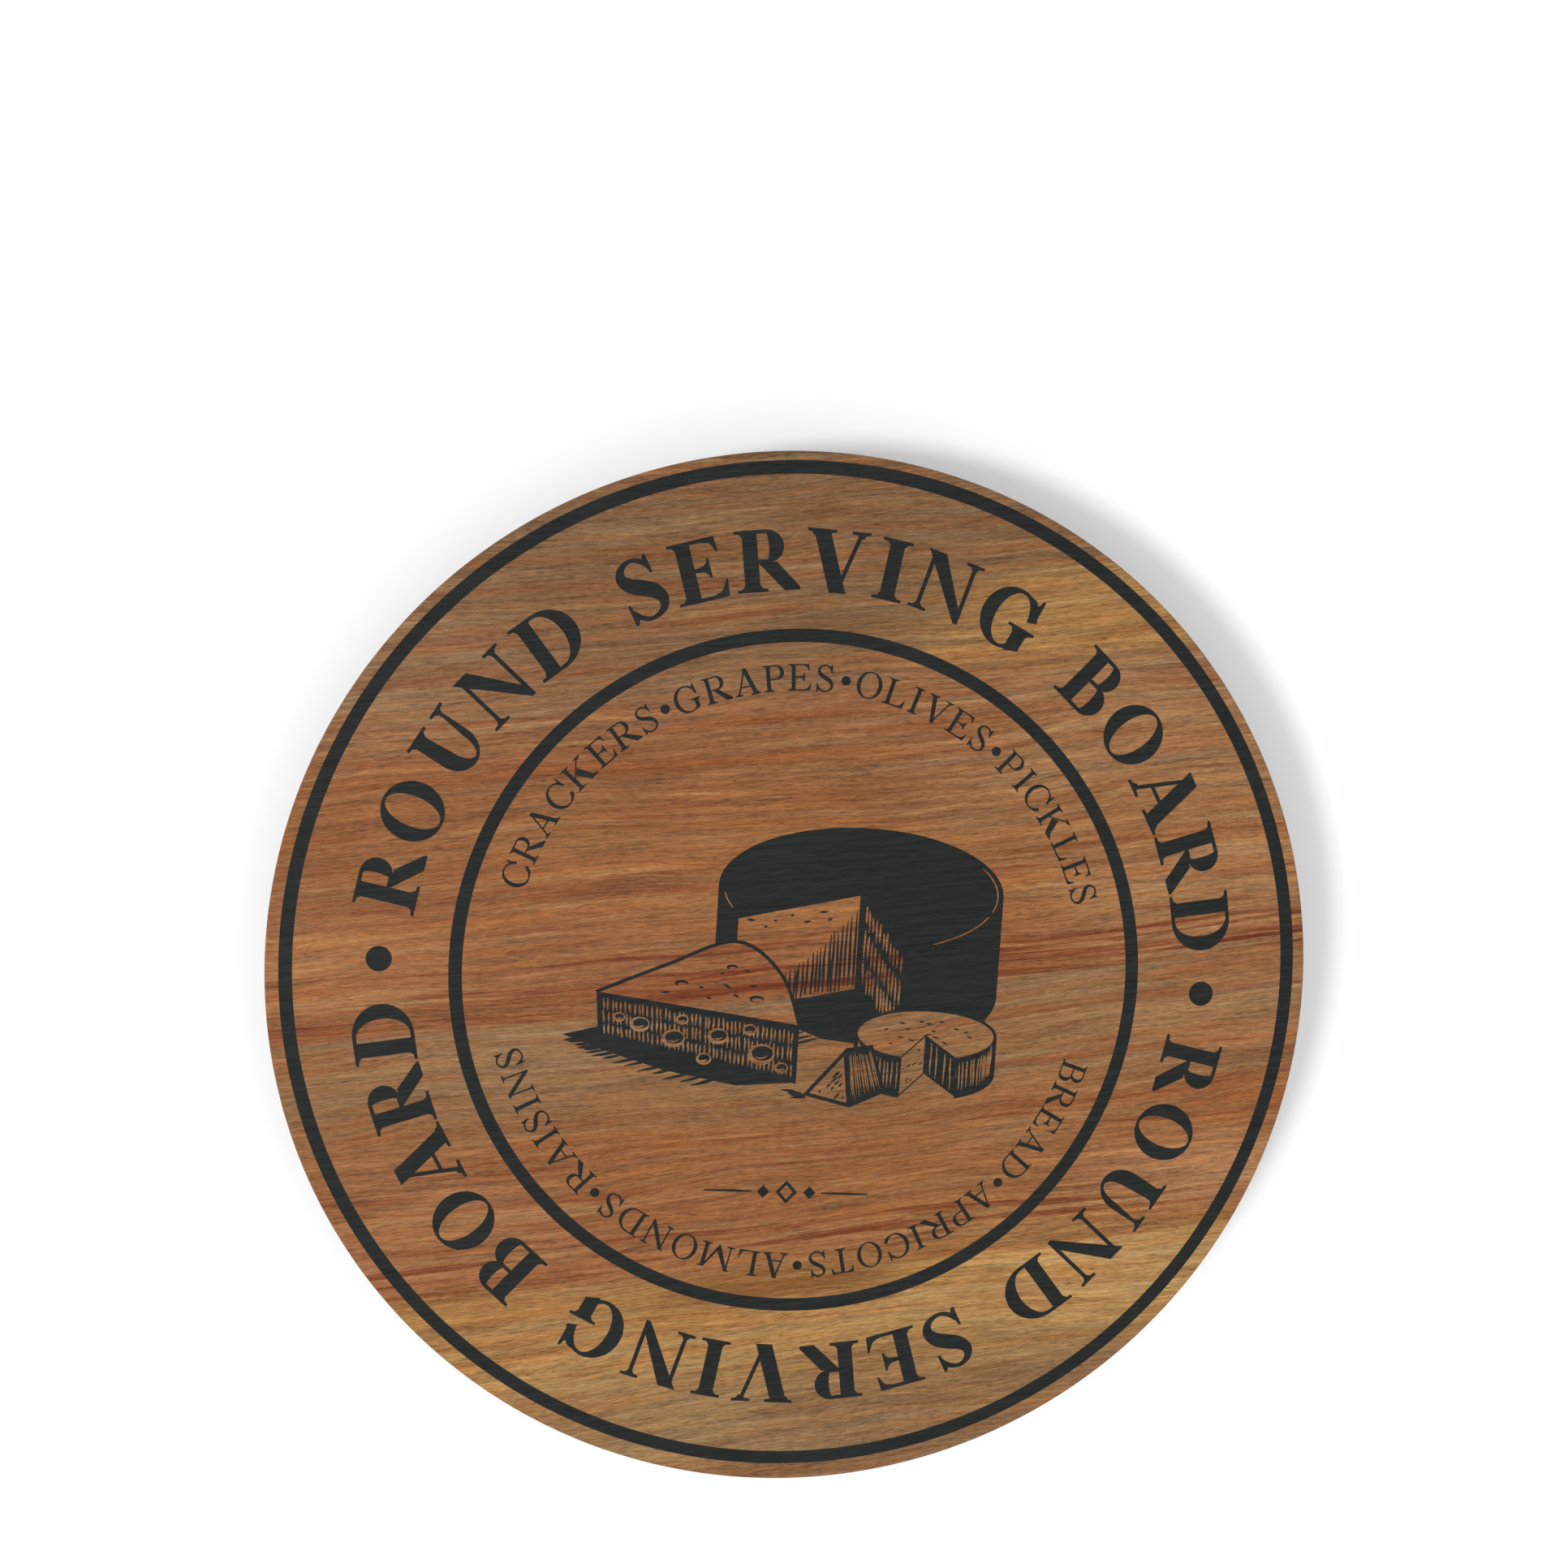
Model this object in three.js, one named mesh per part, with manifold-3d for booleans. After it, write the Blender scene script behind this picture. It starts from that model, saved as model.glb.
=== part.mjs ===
// A turntable cheese board: a round top of four edge-glued planks turns on a ring bearing over a
// smaller round base with rubber feet. Millimetres, +Z up, +X along the grain of the top.
// The origin is on the turning axis, on the surface that the feet stand on.
import * as THREE from "three";
import { mergeVertices } from "three/addons/utils/BufferGeometryUtils.js";
import Module from "manifold-3d";

const wasm = await Module();
wasm.setup();

// Top board
const topDiameter = 400;
const topThickness = 15;
const topEdgeAbove = 1; // radius of the eased edge round the upper face
const topEdgeBelow = 2.5; // radius of the softer edge underneath, where fingers lift the board
const topGlueLines = [109.3, -6.3, -109]; // distance of each joint between planks from the axis
const topSegments = 96;

// Base board
const baseDiameter = 250;
const baseThickness = 14;
const baseEdge = 2; // radius of its eased edges
const baseGlueLines = [42, -42];
const baseSegments = 64;

// Rubber feet, stuck under the base
const footDiameter = 18;
const footHeight = 2.5;
const footEdge = 0.6;
const footInset = 22; // from the rim of the base to the middle of a foot
const footCount = 4;
const footAngle = 45; // degrees from +X to the first foot
const footSegments = 20;

// Ring bearing: the outer ring is screwed down to the base, the inner ring up to the top
const bearingDiameter = 140;
const outerRingWidth = 13.4;
const innerRingWidth = 17.4;
const ringHeight = 7.5;
const ringStep = 1; // how far the inner ring stands above the outer one, and clears the base
const ringEdge = 0.4; // chamfer on the corners of the rings
const ringGap = 1.2; // between the two rings
const ballDiameter = 4;
const ballCount = 16;
const ballSegments = 8;
const raceClearance = 0.15; // between a ball and the wall of its groove
const ringSegments = 64;
const grooveSteps = 6;

// Ball cage: a thin strip that stands in the gap between the rings
const cageClearance = 0.25; // to each ring
const cageMargin = 0.6; // of strip above and below a ball
const cageHoleClearance = 0.2;

// Pan-head wood screws
const screwDiameter = 3.5;
const screwLength = 14;
const screwTip = 3;
const headDiameter = 7;
const headHeight = 2;
const headFlat = 4.2; // diameter of the flat on top of the domed head
const headCover = 0.4; // how deep a head lies under the face of its ring
const screwHoleClearance = 0.3; // round the shank, and past the tip
const headClearance = 0.4;
const screwCount = 4;
const outerScrewInset = 6; // from the rim of the outer ring to its screws
const innerScrewInset = 8; // from the bore of the inner ring to its screws
const outerScrewAngle = 0; // degrees from +X to the first screw
const innerScrewAngle = 45;
const screwSegments = 12;

// The hole in the base that a screwdriver reaches the inner ring's screws through
const accessDiameter = 10;
const accessSegments = 24;

const cutOver = 1; // how far a cutting tool runs past the face that it cuts

// Heights and radii that follow from the sizes above
const baseBottom = footHeight;
const baseTop = baseBottom + baseThickness;
const outerRingTop = baseTop + ringHeight;
const innerRingBottom = baseTop + ringStep;
const topBottom = innerRingBottom + ringHeight;
const ballHeight = (innerRingBottom + outerRingTop) / 2;
const outerRingRadius = bearingDiameter / 2;
const outerRaceRadius = outerRingRadius - outerRingWidth;
const pitchRadius = outerRaceRadius - ringGap / 2;
const innerRaceRadius = pitchRadius - ringGap / 2;
const boreRadius = innerRaceRadius - innerRingWidth;
const outerScrewRadius = outerRingRadius - outerScrewInset;
const innerScrewRadius = boreRadius + innerScrewInset;
const seatDepth = headHeight + headCover; // of the flat-bottomed hole that takes a screw's head
const screwBite = screwLength - (ringHeight - seatDepth); // how far a screw goes into the wood

const finish = (color, roughness, metalness = 0) =>
  new THREE.MeshStandardMaterial({ color, roughness, metalness });
const topWood = [0x84694e, 0x9a6b45, 0x90623d, 0x9c7546].map((color) => finish(color, 0.55));
const baseWood = [0x97704a, 0x8b6340, 0x9a7549].map((color) => finish(color, 0.6));
const aluminium = finish(0xc9cbcd, 0.35, 1);
const ballSteel = finish(0xd6d8da, 0.12, 1);
const screwSteel = finish(0xb9bbb6, 0.3, 1);
const nylon = finish(0xe8e6dc, 0.5);
const rubber = finish(0x232323, 0.85);

// A closed geometry as a solid that can be cut.
function solid(geometry) {
  const bare = new THREE.BufferGeometry()
    .setAttribute("position", geometry.getAttribute("position"))
    .setIndex(geometry.index);
  const merged = mergeVertices(bare, 1e-4);
  return new wasm.Manifold(
    new wasm.Mesh({
      numProp: 3,
      vertProperties: merged.attributes.position.array,
      triVerts: new Uint32Array(merged.index.array),
    }),
  );
}

// A cut solid as a flat-shaded geometry.
function faceted(cut) {
  const { vertProperties, triVerts } = cut.getMesh();
  const indexed = new THREE.BufferGeometry()
    .setAttribute("position", new THREE.BufferAttribute(vertProperties, 3))
    .setIndex(new THREE.BufferAttribute(triVerts, 1));
  const geometry = indexed.toNonIndexed();
  geometry.computeVertexNormals();
  return geometry;
}

// A profile of [radius, height] points turned about the Z axis.
function turned(profile, segments) {
  const points = profile.map(([radius, height]) => new THREE.Vector2(radius, height));
  return new THREE.LatheGeometry(points, segments).rotateX(Math.PI / 2);
}

// A disc with rounded edges, standing on the height "bottom".
function disc(diameter, bottom, thickness, edgeBelow, edgeAbove, segments) {
  const radius = diameter / 2;
  const arc = (edge, height, from) =>
    [0, 0.5, 1].map((share) => {
      const angle = ((from + 90 * share) * Math.PI) / 180;
      return [radius - edge + edge * Math.cos(angle), height + edge * Math.sin(angle)];
    });
  const profile = [
    [0, bottom],
    ...arc(edgeBelow, bottom + edgeBelow, -90),
    ...arc(edgeAbove, bottom + thickness - edgeAbove, 0),
    [0, bottom + thickness],
  ];
  return turned(profile, segments);
}

// A plain upright cylinder between two heights.
function drill(diameter, low, high, x, y, segments) {
  return new THREE.CylinderGeometry(diameter / 2, diameter / 2, high - low, segments)
    .rotateX(Math.PI / 2)
    .translate(x, y, (low + high) / 2);
}

// The points [x, y] of a pattern on a circle.
function circle(radius, count, firstAngle) {
  return Array.from({ length: count }, (_, i) => {
    const angle = ((firstAngle + (360 * i) / count) * Math.PI) / 180;
    return [radius * Math.cos(angle), radius * Math.sin(angle)];
  });
}

const outerScrews = circle(outerScrewRadius, screwCount, outerScrewAngle);
const innerScrews = circle(innerScrewRadius, screwCount, innerScrewAngle);

function add(group, name, geometry, material, [x, y, z] = [0, 0, 0]) {
  const mesh = new THREE.Mesh(geometry, material);
  mesh.name = name;
  mesh.position.set(x, y, z);
  group.add(mesh);
  return mesh;
}

// Drills a board for the tips of its screws, then parts it along its glue lines into planks.
function planks(group, name, board, glueLines, materials) {
  let rest = board;
  glueLines.forEach((line, i) => {
    const [plank, remainder] = rest.splitByPlane([0, 1, 0], line);
    add(group, `${name}_${i + 1}`, faceted(plank), materials[i]);
    rest = remainder;
  });
  add(group, `${name}_${glueLines.length + 1}`, faceted(rest), materials[glueLines.length]);
}

function topBoard(group) {
  const pilot = screwDiameter + 2 * screwHoleClearance;
  let board = solid(
    disc(topDiameter, topBottom, topThickness, topEdgeBelow, topEdgeAbove, topSegments),
  );
  for (const [x, y] of innerScrews) {
    const hole = drill(pilot, topBottom - cutOver, topBottom + screwBite + screwHoleClearance, x, y, screwSegments);
    board = board.subtract(solid(hole));
  }
  planks(group, "top_plank", board, topGlueLines, topWood);
}

function baseBoard(group) {
  const pilot = screwDiameter + 2 * screwHoleClearance;
  let board = solid(disc(baseDiameter, baseBottom, baseThickness, baseEdge, baseEdge, baseSegments));
  for (const [x, y] of outerScrews) {
    const hole = drill(pilot, baseTop - screwBite - screwHoleClearance, baseTop + cutOver, x, y, screwSegments);
    board = board.subtract(solid(hole));
  }
  const [accessX, accessY] = innerScrews[0];
  const access = drill(
    accessDiameter, baseBottom - cutOver, baseTop + cutOver, accessX, accessY, accessSegments,
  );
  board = board.subtract(solid(access));
  planks(group, "base_plank", board, baseGlueLines, baseWood);
}

function feet(group) {
  const places = circle(baseDiameter / 2 - footInset, footCount, footAngle);
  places.forEach(([x, y], i) => {
    const foot = disc(footDiameter, 0, footHeight, footEdge, footEdge, footSegments);
    add(group, `rubber_foot_${i + 1}`, foot, rubber, [x, y, 0]);
  });
}

// The race wall of a ring, from its lower corner to its upper one. side is -1 on the inner ring,
// whose groove curves in towards the axis, and 1 on the outer ring.
function raceWall(side, low, high) {
  const wall = pitchRadius + (side * ringGap) / 2;
  const groove = ballDiameter / 2 + raceClearance;
  const half = Math.acos(ringGap / 2 / groove);
  const points = [];
  for (let i = 0; i <= grooveSteps; i++) {
    const angle = half * ((2 * i) / grooveSteps - 1);
    points.push([pitchRadius + side * groove * Math.cos(angle), ballHeight + groove * Math.sin(angle)]);
  }
  return [[wall, low], ...points, [wall, high]];
}

// Four corners of a ring's plain side, with chamfers.
function plainSide(radius, low, high, inwards) {
  const edge = ringEdge * inwards;
  return [
    [radius + edge, low],
    [radius, low + ringEdge],
    [radius, high - ringEdge],
    [radius + edge, high],
  ];
}

// Cuts the through holes of a ring's screws, with a flat seat for each head.
function screwHoles(ring, places, low, high, seatLow, seatHigh) {
  for (const [x, y] of places) {
    const through = drill(
      screwDiameter + 2 * screwHoleClearance, low - cutOver, high + cutOver, x, y, screwSegments,
    );
    const seat = drill(headDiameter + 2 * headClearance, seatLow, seatHigh, x, y, screwSegments);
    ring = ring.subtract(solid(through)).subtract(solid(seat));
  }
  return ring;
}

function innerRing(group) {
  const low = innerRingBottom;
  const high = topBottom;
  const bore = plainSide(boreRadius, low, high, 1).reverse();
  const profile = [...bore, ...raceWall(-1, low, high), bore[0]];
  const ring = solid(turned(profile, ringSegments));
  const cut = screwHoles(ring, innerScrews, low, high, low - cutOver, low + seatDepth);
  add(group, "bearing_inner_ring", faceted(cut), aluminium);
}

function outerRing(group) {
  const low = baseTop;
  const high = outerRingTop;
  const rim = plainSide(outerRingRadius, low, high, -1);
  const profile = [...rim, ...raceWall(1, low, high).reverse(), rim[0]];
  const ring = solid(turned(profile, ringSegments));
  const cut = screwHoles(ring, outerScrews, low, high, high - seatDepth, high + cutOver);
  add(group, "bearing_outer_ring", faceted(cut), aluminium);
}

function ballRing(group) {
  const places = circle(pitchRadius, ballCount, 0);
  const inside = innerRaceRadius + cageClearance;
  const outside = outerRaceRadius - cageClearance;
  const low = ballHeight - ballDiameter / 2 - cageMargin;
  const high = ballHeight + ballDiameter / 2 + cageMargin;
  const strip = [[inside, low], [outside, low], [outside, high], [inside, high], [inside, low]];
  let cage = solid(turned(strip, ringSegments));
  places.forEach(([x, y], i) => {
    const radius = ballDiameter / 2 + cageHoleClearance;
    const hole = new THREE.CylinderGeometry(radius, radius, ringGap + 2 * cutOver, screwSegments)
      .rotateZ(-Math.PI / 2)
      .rotateZ(Math.atan2(y, x))
      .translate(x, y, ballHeight);
    cage = cage.subtract(solid(hole));
    const ball = new THREE.SphereGeometry(ballDiameter / 2, ballSegments, ballSegments - 2);
    const name = `bearing_ball_${String(i + 1).padStart(2, "0")}`;
    add(group, name, ball, ballSteel, [x, y, ballHeight]);
  });
  add(group, "ball_cage", faceted(cage), nylon);
}

// A screw that points down, with the underside of its head at height 0.
function screw() {
  const shank = screwDiameter / 2;
  const head = headDiameter / 2;
  const profile = [
    [0, -screwLength],
    [shank, screwTip - screwLength],
    [shank, 0],
    [head, 0],
    [head, headHeight / 2],
    [headFlat / 2, headHeight],
    [0, headHeight],
  ];
  return turned(profile, screwSegments);
}

function screws(group, name, places, seat, pointsUp) {
  places.forEach(([x, y], i) => {
    const geometry = pointsUp ? screw().rotateX(Math.PI) : screw();
    add(group, `${name}_${i + 1}`, geometry, screwSteel, [x, y, seat]);
  });
}

const turntable = new THREE.Group();
topBoard(turntable);
innerRing(turntable);
screws(turntable, "top_screw", innerScrews, innerRingBottom + seatDepth, true);

const base = new THREE.Group();
baseBoard(base);
outerRing(base);
screws(base, "base_screw", outerScrews, outerRingTop - seatDepth, false);
feet(base);

const balls = new THREE.Group();
ballRing(balls);

const board = new THREE.Group();
board.add(base, balls, turntable);

export default board;
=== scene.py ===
"""A round printed cheese board that turns on a ring bearing, put together from the table up."""
import math
import random

import bmesh
import bpy
from mathutils import Matrix, Vector, geometry


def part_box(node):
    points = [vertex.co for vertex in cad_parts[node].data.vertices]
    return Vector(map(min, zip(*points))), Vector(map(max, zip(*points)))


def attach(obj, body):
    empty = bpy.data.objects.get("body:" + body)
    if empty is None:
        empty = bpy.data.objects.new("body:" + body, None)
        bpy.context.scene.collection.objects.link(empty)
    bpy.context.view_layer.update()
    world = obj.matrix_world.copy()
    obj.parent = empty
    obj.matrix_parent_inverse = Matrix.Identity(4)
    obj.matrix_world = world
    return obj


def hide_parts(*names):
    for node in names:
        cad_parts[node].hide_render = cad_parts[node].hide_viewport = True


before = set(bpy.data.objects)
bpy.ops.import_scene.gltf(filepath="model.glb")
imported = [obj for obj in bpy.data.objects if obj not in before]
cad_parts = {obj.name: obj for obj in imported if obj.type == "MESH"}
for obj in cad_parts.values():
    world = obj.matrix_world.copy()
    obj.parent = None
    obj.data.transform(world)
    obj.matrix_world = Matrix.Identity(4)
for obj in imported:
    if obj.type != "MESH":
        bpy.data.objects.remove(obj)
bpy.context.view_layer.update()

# ---------------------------------------------------------------------------------------------
# Base: a smaller round of the same acacia, glued up from three planks and turned with softened
# edges. It is sanded and oiled like the top. One hole lets a screwdriver through to the bearing.

MM = 0.001
TIMES = {"operation": "MULTIPLY"}
TIMES_PLUS = {"operation": "MULTIPLY_ADD"}  # the first input times the second, plus the third
SMOOTH = {"interpolation_type": "SMOOTHSTEP"}  # a MapRange with a smooth rise from 0 to 1
COLOURS = {"out": 2, "data_type": "RGBA"}  # a Mix of colours: 0 is the share of 7 laid over 6
BASE_SEGMENTS = 256
BASE_EDGE = 2.0
ACCESS_HOLE = 10.0
BRIGHTNESS = 0.86  # how much of its listed colours the wood gives back, under the oil
BEND = 17.0  # mm that the grain swings sideways over the length of a plank
CURL = 1.8  # mm that it curls within that
FRAY = 26.0  # mm that fibres carry the edge of a colour to and fro across the grain
RING_WIDTH = 2.6
RAYS = 160.0  # rays in each radian round the pith
PORE = (5.0, 0.45, 0.45)
RAY_FLECK = (1.8, 0.5, 0.5)
WARM_TINT = "fff7e4"
COOL_TINT = "f1f8ff"
RED_STREAK = "6a2f16"
OPEN_PORE = "3b2012"
PALE_FLECK = "b98d62"
END_GRAIN_OIL = 0.16  # end grain drinks more oil, and is darker by this share
THREADS = [  # long threads of other colours: (length, width, low, high, amount, hex)
    (70, 7.0, 0.48, 0.74, 0.50, "784829"),
    (95, 4.2, 0.42, 0.74, 0.46, "944c22"),
    (80, 3.2, 0.50, 0.78, 0.46, "b68b5d"),
]
LIGHT_LAYERS = [  # light and dark dashes: (length, width, contrast along the fibres, and across)
    (40, 2.0, 1.00, 0.30),
    (9.5, 0.65, 1.50, 0.70),
    (3.4, 0.36, 1.35, 0.90),
]


def from_hex(code):
    """An sRGB hex colour as linear red, green, blue and alpha."""
    values = [int(code[i : i + 2], 16) / 255 for i in (0, 2, 4)]
    return [v / 12.92 if v <= 0.04045 else ((v + 0.055) / 1.055) ** 2.4 for v in values] + [1.0]


def add_node(tree, kind, *inputs, out=0, **settings):
    """Adds a shader node with its settings, links or sets its inputs, and gives one output. The
    inputs are in the node's own order, or one dict of them by name or number."""
    made = tree.nodes.new("ShaderNode" + kind)
    for key, value in settings.items():
        setattr(made, key, value)
    named = inputs[0] if inputs and isinstance(inputs[0], dict) else dict(enumerate(inputs))
    for key, value in named.items():
        if isinstance(value, bpy.types.NodeSocket):
            tree.links.new(value, made.inputs[key])
        else:
            made.inputs[key].default_value = value
    return made.outputs[out]


def new_material(name, **constants):
    """A material with one Principled shader, and the values that are the same all over it."""
    material = bpy.data.materials.new(name)
    material.use_nodes = True
    shader = material.node_tree.nodes["Principled BSDF"]
    for key, value in constants.items():
        shader.inputs[key.replace("_", " ")].default_value = value
    return material, material.node_tree, shader


def set_surface(tree, shader, colour, gloss=None, relief=None):
    """Gives a shader its colour, its gloss as (pattern, swing, least roughness), and its relief as
    (height, strength, depth in mm)."""
    tree.links.new(colour, shader.inputs["Base Color"])
    if gloss:
        tree.links.new(add_node(tree, "Math", *gloss, **TIMES_PLUS), shader.inputs["Roughness"])
    if relief:
        inputs = dict(zip(("Height", "Strength", "Distance"), relief))
        inputs["Distance"] *= MM
        tree.links.new(add_node(tree, "Bump", inputs, out="Normal"), shader.inputs["Normal"])


def stretched_noise(tree, place, size, detail=3.0, roughness=0.55, shift=0.0):
    """Noise whose grains are size = (length, width, depth) in millimetres."""
    inputs = {"Vector": place, "Scale": [1 / (s * MM) for s in size], "Location": (shift, 0.37 * shift, 0)}
    inputs = {"Vector": add_node(tree, "Mapping", inputs), "Scale": 1.0, "Detail": detail}
    return add_node(tree, "TexNoise", inputs | {"Roughness": roughness})


def two_tone(tree, pattern, low, high, first, second):
    """The first colour where a pattern is below low, and the second where it is above high."""
    share = add_node(tree, "MapRange", pattern, low, high, **SMOOTH)
    return add_node(tree, "Mix", {0: share, 6: from_hex(first), 7: from_hex(second)}, **COLOURS)


def acacia(name, low, high, bands, patches=(), streaks=(), pith=(30.0, -60.0), shift=0.0):
    """Oiled acacia, planed and sanded along X. The eye sees bands of heartwood and sapwood across
    the plank, thin dark red streaks, and a fine grain of short fibres and open pores.

    low and high are the plank's edges in mm across the grain. bands are (share of the width, hex)
    pairs; patches (x, y, half length, half width, hex, strength); streaks (y, half width, strength)."""
    material, tree, shader = new_material(name, IOR=1.5, Specular_IOR_Level=0.12)
    place = add_node(tree, "TexCoord", out="Object")

    def swing(where, size, detail, roughness, offset):
        """Noise that runs both ways from 0."""
        noise = stretched_noise(tree, where, size, detail, roughness, shift + offset)
        return add_node(tree, "Math", noise, 0.5, operation="SUBTRACT")

    def laid_over(colour, mask, share, code):
        """Another colour over the wood, by a share of what a marking's mask says."""
        share = add_node(tree, "Math", mask, share, **TIMES)
        return add_node(tree, "Mix", {0: share, 6: colour, 7: from_hex(code)}, **COLOURS)

    bend = swing(place, (190, 70, 70), 2, 0.5, 0)
    curl = add_node(tree, "Math", swing(place, (45, 24, 24), 2, 0.5, 5), CURL * MM, **TIMES)
    wander = add_node(tree, "Math", bend, BEND * MM, curl, **TIMES_PLUS)
    bent = add_node(tree, "CombineXYZ", {"Y": wander})
    grain = add_node(tree, "VectorMath", place, bent, operation="ADD")
    across = add_node(tree, "SeparateXYZ", grain, out="Y")

    # How far the surface is cut across the fibres: 0 on a face, 1 on end grain at the rim.
    normal = add_node(tree, "TexCoord", out="Normal")
    facing = add_node(tree, "Math", add_node(tree, "SeparateXYZ", normal, out="X"), operation="ABSOLUTE")
    ends = add_node(tree, "MapRange", facing, 0.2, 0.75, **SMOOTH)
    sides = add_node(tree, "Math", ends, -0.85, 1.0, **TIMES_PLUS)

    # Heartwood and sapwood, in bands along the tree's growth, with edges broken up by the fibres.
    feather = add_node(tree, "Math", swing(grain, (90, 3, 3), 4, 0.65, 41), sides, **TIMES)
    frayed = add_node(tree, "Math", feather, FRAY * MM, across, **TIMES_PLUS)
    ramp = add_node(tree, "ValToRGB", add_node(tree, "MapRange", frayed, low * MM, high * MM))
    stops = ramp.node.color_ramp.elements
    for position, _ in bands[2:]:
        stops.new(position)
    for stop, (position, code) in zip(stops, sorted(bands)):
        stop.position = position
        stop.color = from_hex(code)
    colour = ramp
    for x, y, half_length, half_width, code, strength in patches:
        inputs = {
            "Vector": grain,
            "Location": (-x / half_length, -y / half_width, 0),
            "Scale": (1 / (half_length * MM), 1 / (half_width * MM), 0),
        }
        spot = add_node(tree, "Mapping", inputs)
        reach = add_node(tree, "VectorMath", spot, out="Value", operation="LENGTH")
        reach = add_node(tree, "Math", feather, 2.4, reach, **TIMES_PLUS)
        inside = add_node(tree, "MapRange", reach, 1.25, 0.35, **SMOOTH)
        colour = laid_over(colour, inside, strength, code)

    # Growth rings round the pith, which lies outside the plank: end grain shows them as arcs, and
    # the rays that cross them as fine pale lines.
    centre = (0, -pith[0] * MM, -pith[1] * MM)
    flat = add_node(tree, "VectorMath", grain, centre, operation="ADD")
    flat = add_node(tree, "VectorMath", flat, (0.02, 1, 1), **TIMES)
    radius = add_node(tree, "VectorMath", flat, out="Value", operation="LENGTH")
    inputs = {"W": add_node(tree, "Math", radius, RING_WIDTH * MM, operation="DIVIDE"), "Scale": 1.0}
    inputs |= {"Detail": 3.0, "Roughness": 0.6}
    rings = add_node(tree, "TexNoise", inputs, noise_dimensions="1D")
    height, width = (add_node(tree, "SeparateXYZ", flat, out=axis) for axis in "ZY")
    bearing = add_node(tree, "Math", height, width, operation="ARCTAN2")
    inputs = {"W": add_node(tree, "Math", bearing, RAYS, **TIMES), "Scale": 1.0, "Detail": 2.0}
    rays = add_node(tree, "TexNoise", inputs, noise_dimensions="1D")

    # Threads of browner, redder and paler wood, and slow swings from a warm to a cool cast.
    for number, (length, width, least, most, amount, code) in enumerate(THREADS):
        thread = stretched_noise(tree, grain, (length, width, width), 4, 0.6, shift + 3 + 4 * number)
        thread = add_node(tree, "MapRange", thread, least, most, **SMOOTH)
        thread = add_node(tree, "Math", thread, sides, **TIMES)
        colour = laid_over(colour, thread, amount, code)
    cast = stretched_noise(tree, grain, (120, 4.5, 4.5), 4, 0.65, shift + 19)
    tint = two_tone(tree, cast, 0.32, 0.68, COOL_TINT, WARM_TINT)
    colour = add_node(tree, "Mix", {0: sides, 6: colour, 7: tint}, **COLOURS, blend_type="MULTIPLY")

    # Dark red streaks, dense where the plank's own list says.
    thread = stretched_noise(tree, grain, (120, 2.8, 2.8), 4, 0.62, shift + 11)
    dark = add_node(tree, "MapRange", thread, 0.47, 0.66, **SMOOTH)
    dark = add_node(tree, "Math", dark, sides, **TIMES)
    mask = 0.16
    for y, half_width, strength in streaks:
        offset = add_node(tree, "Math", across, y * MM, operation="SUBTRACT")
        offset = add_node(tree, "Math", offset, operation="ABSOLUTE")
        near = add_node(tree, "MapRange", offset, half_width * MM, 0.3 * half_width * MM, **SMOOTH)
        near = add_node(tree, "Math", near, strength, **TIMES)
        mask = add_node(tree, "Math", mask, near, operation="MAXIMUM")
    colour = laid_over(colour, dark, mask, RED_STREAK)

    # Fibres: dashes from bundles 40 mm long to single ones 3 mm long. On end grain the rings and
    # rays stand out instead.
    layers = [(rings, 0.5, 1.5), (rays, 0.0, 0.5)]
    for number, (length, width, along, cut) in enumerate(LIGHT_LAYERS):
        size, offset = (length, width, width), shift + 17 + 6 * number
        layers.append((stretched_noise(tree, grain, size, 4 - number, 0.62, offset), along, cut))
    fibres = layers[3][0]
    light = add_node(tree, "Math", ends, -END_GRAIN_OIL * BRIGHTNESS, BRIGHTNESS, **TIMES_PLUS)
    for layer, along, cut in layers:
        offset = add_node(tree, "Math", layer, 0.5, operation="SUBTRACT")
        contrast = (ends, (cut - along) * BRIGHTNESS, along * BRIGHTNESS)
        contrast = add_node(tree, "Math", *contrast, **TIMES_PLUS)
        light = add_node(tree, "Math", offset, contrast, light, **TIMES_PLUS)
    colour = add_node(tree, "VectorMath", {0: colour, "Scale": light}, operation="SCALE")

    # Pores: dark dashes 5 mm long on a face and dots on end grain, and sparse pale flecks of ray.
    pores = stretched_noise(tree, grain, PORE, 1, 0.5, shift + 31)
    pores = add_node(tree, "MapRange", pores, 0.61, 0.74, **SMOOTH)
    colour = laid_over(colour, pores, 0.5, OPEN_PORE)
    flecks = stretched_noise(tree, grain, RAY_FLECK, 1, 0.5, shift + 37)
    flecks = add_node(tree, "MapRange", flecks, 0.70, 0.8, **SMOOTH)
    colour = laid_over(colour, flecks, 0.3, PALE_FLECK)

    # The raised fibres scatter the light a little more than the wood between them.
    height = add_node(tree, "Math", pores, 0.5, **TIMES)
    height = add_node(tree, "Math", fibres, height, operation="SUBTRACT")
    set_surface(tree, shader, colour, gloss=(fibres, 0.2, 0.48), relief=(height, 0.35, 0.12))
    return material


def rounding(radius, height, edge, start, steps=6):
    """Quarter-circle points [radius, height] round a centre, starting at an angle in degrees."""
    angles = [math.radians(start + 90 * i / steps) for i in range(steps + 1)]
    return [(radius + edge * math.cos(a), height + edge * math.sin(a)) for a in angles]


def ring_of_points(bm, radius, height, segments):
    """Points evenly round the Z axis, at a radius and a height in mm."""
    angles = [2 * math.pi * i / segments for i in range(segments)]
    return [bm.verts.new((radius * math.cos(a) * MM, radius * math.sin(a) * MM, height * MM)) for a in angles]


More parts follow.
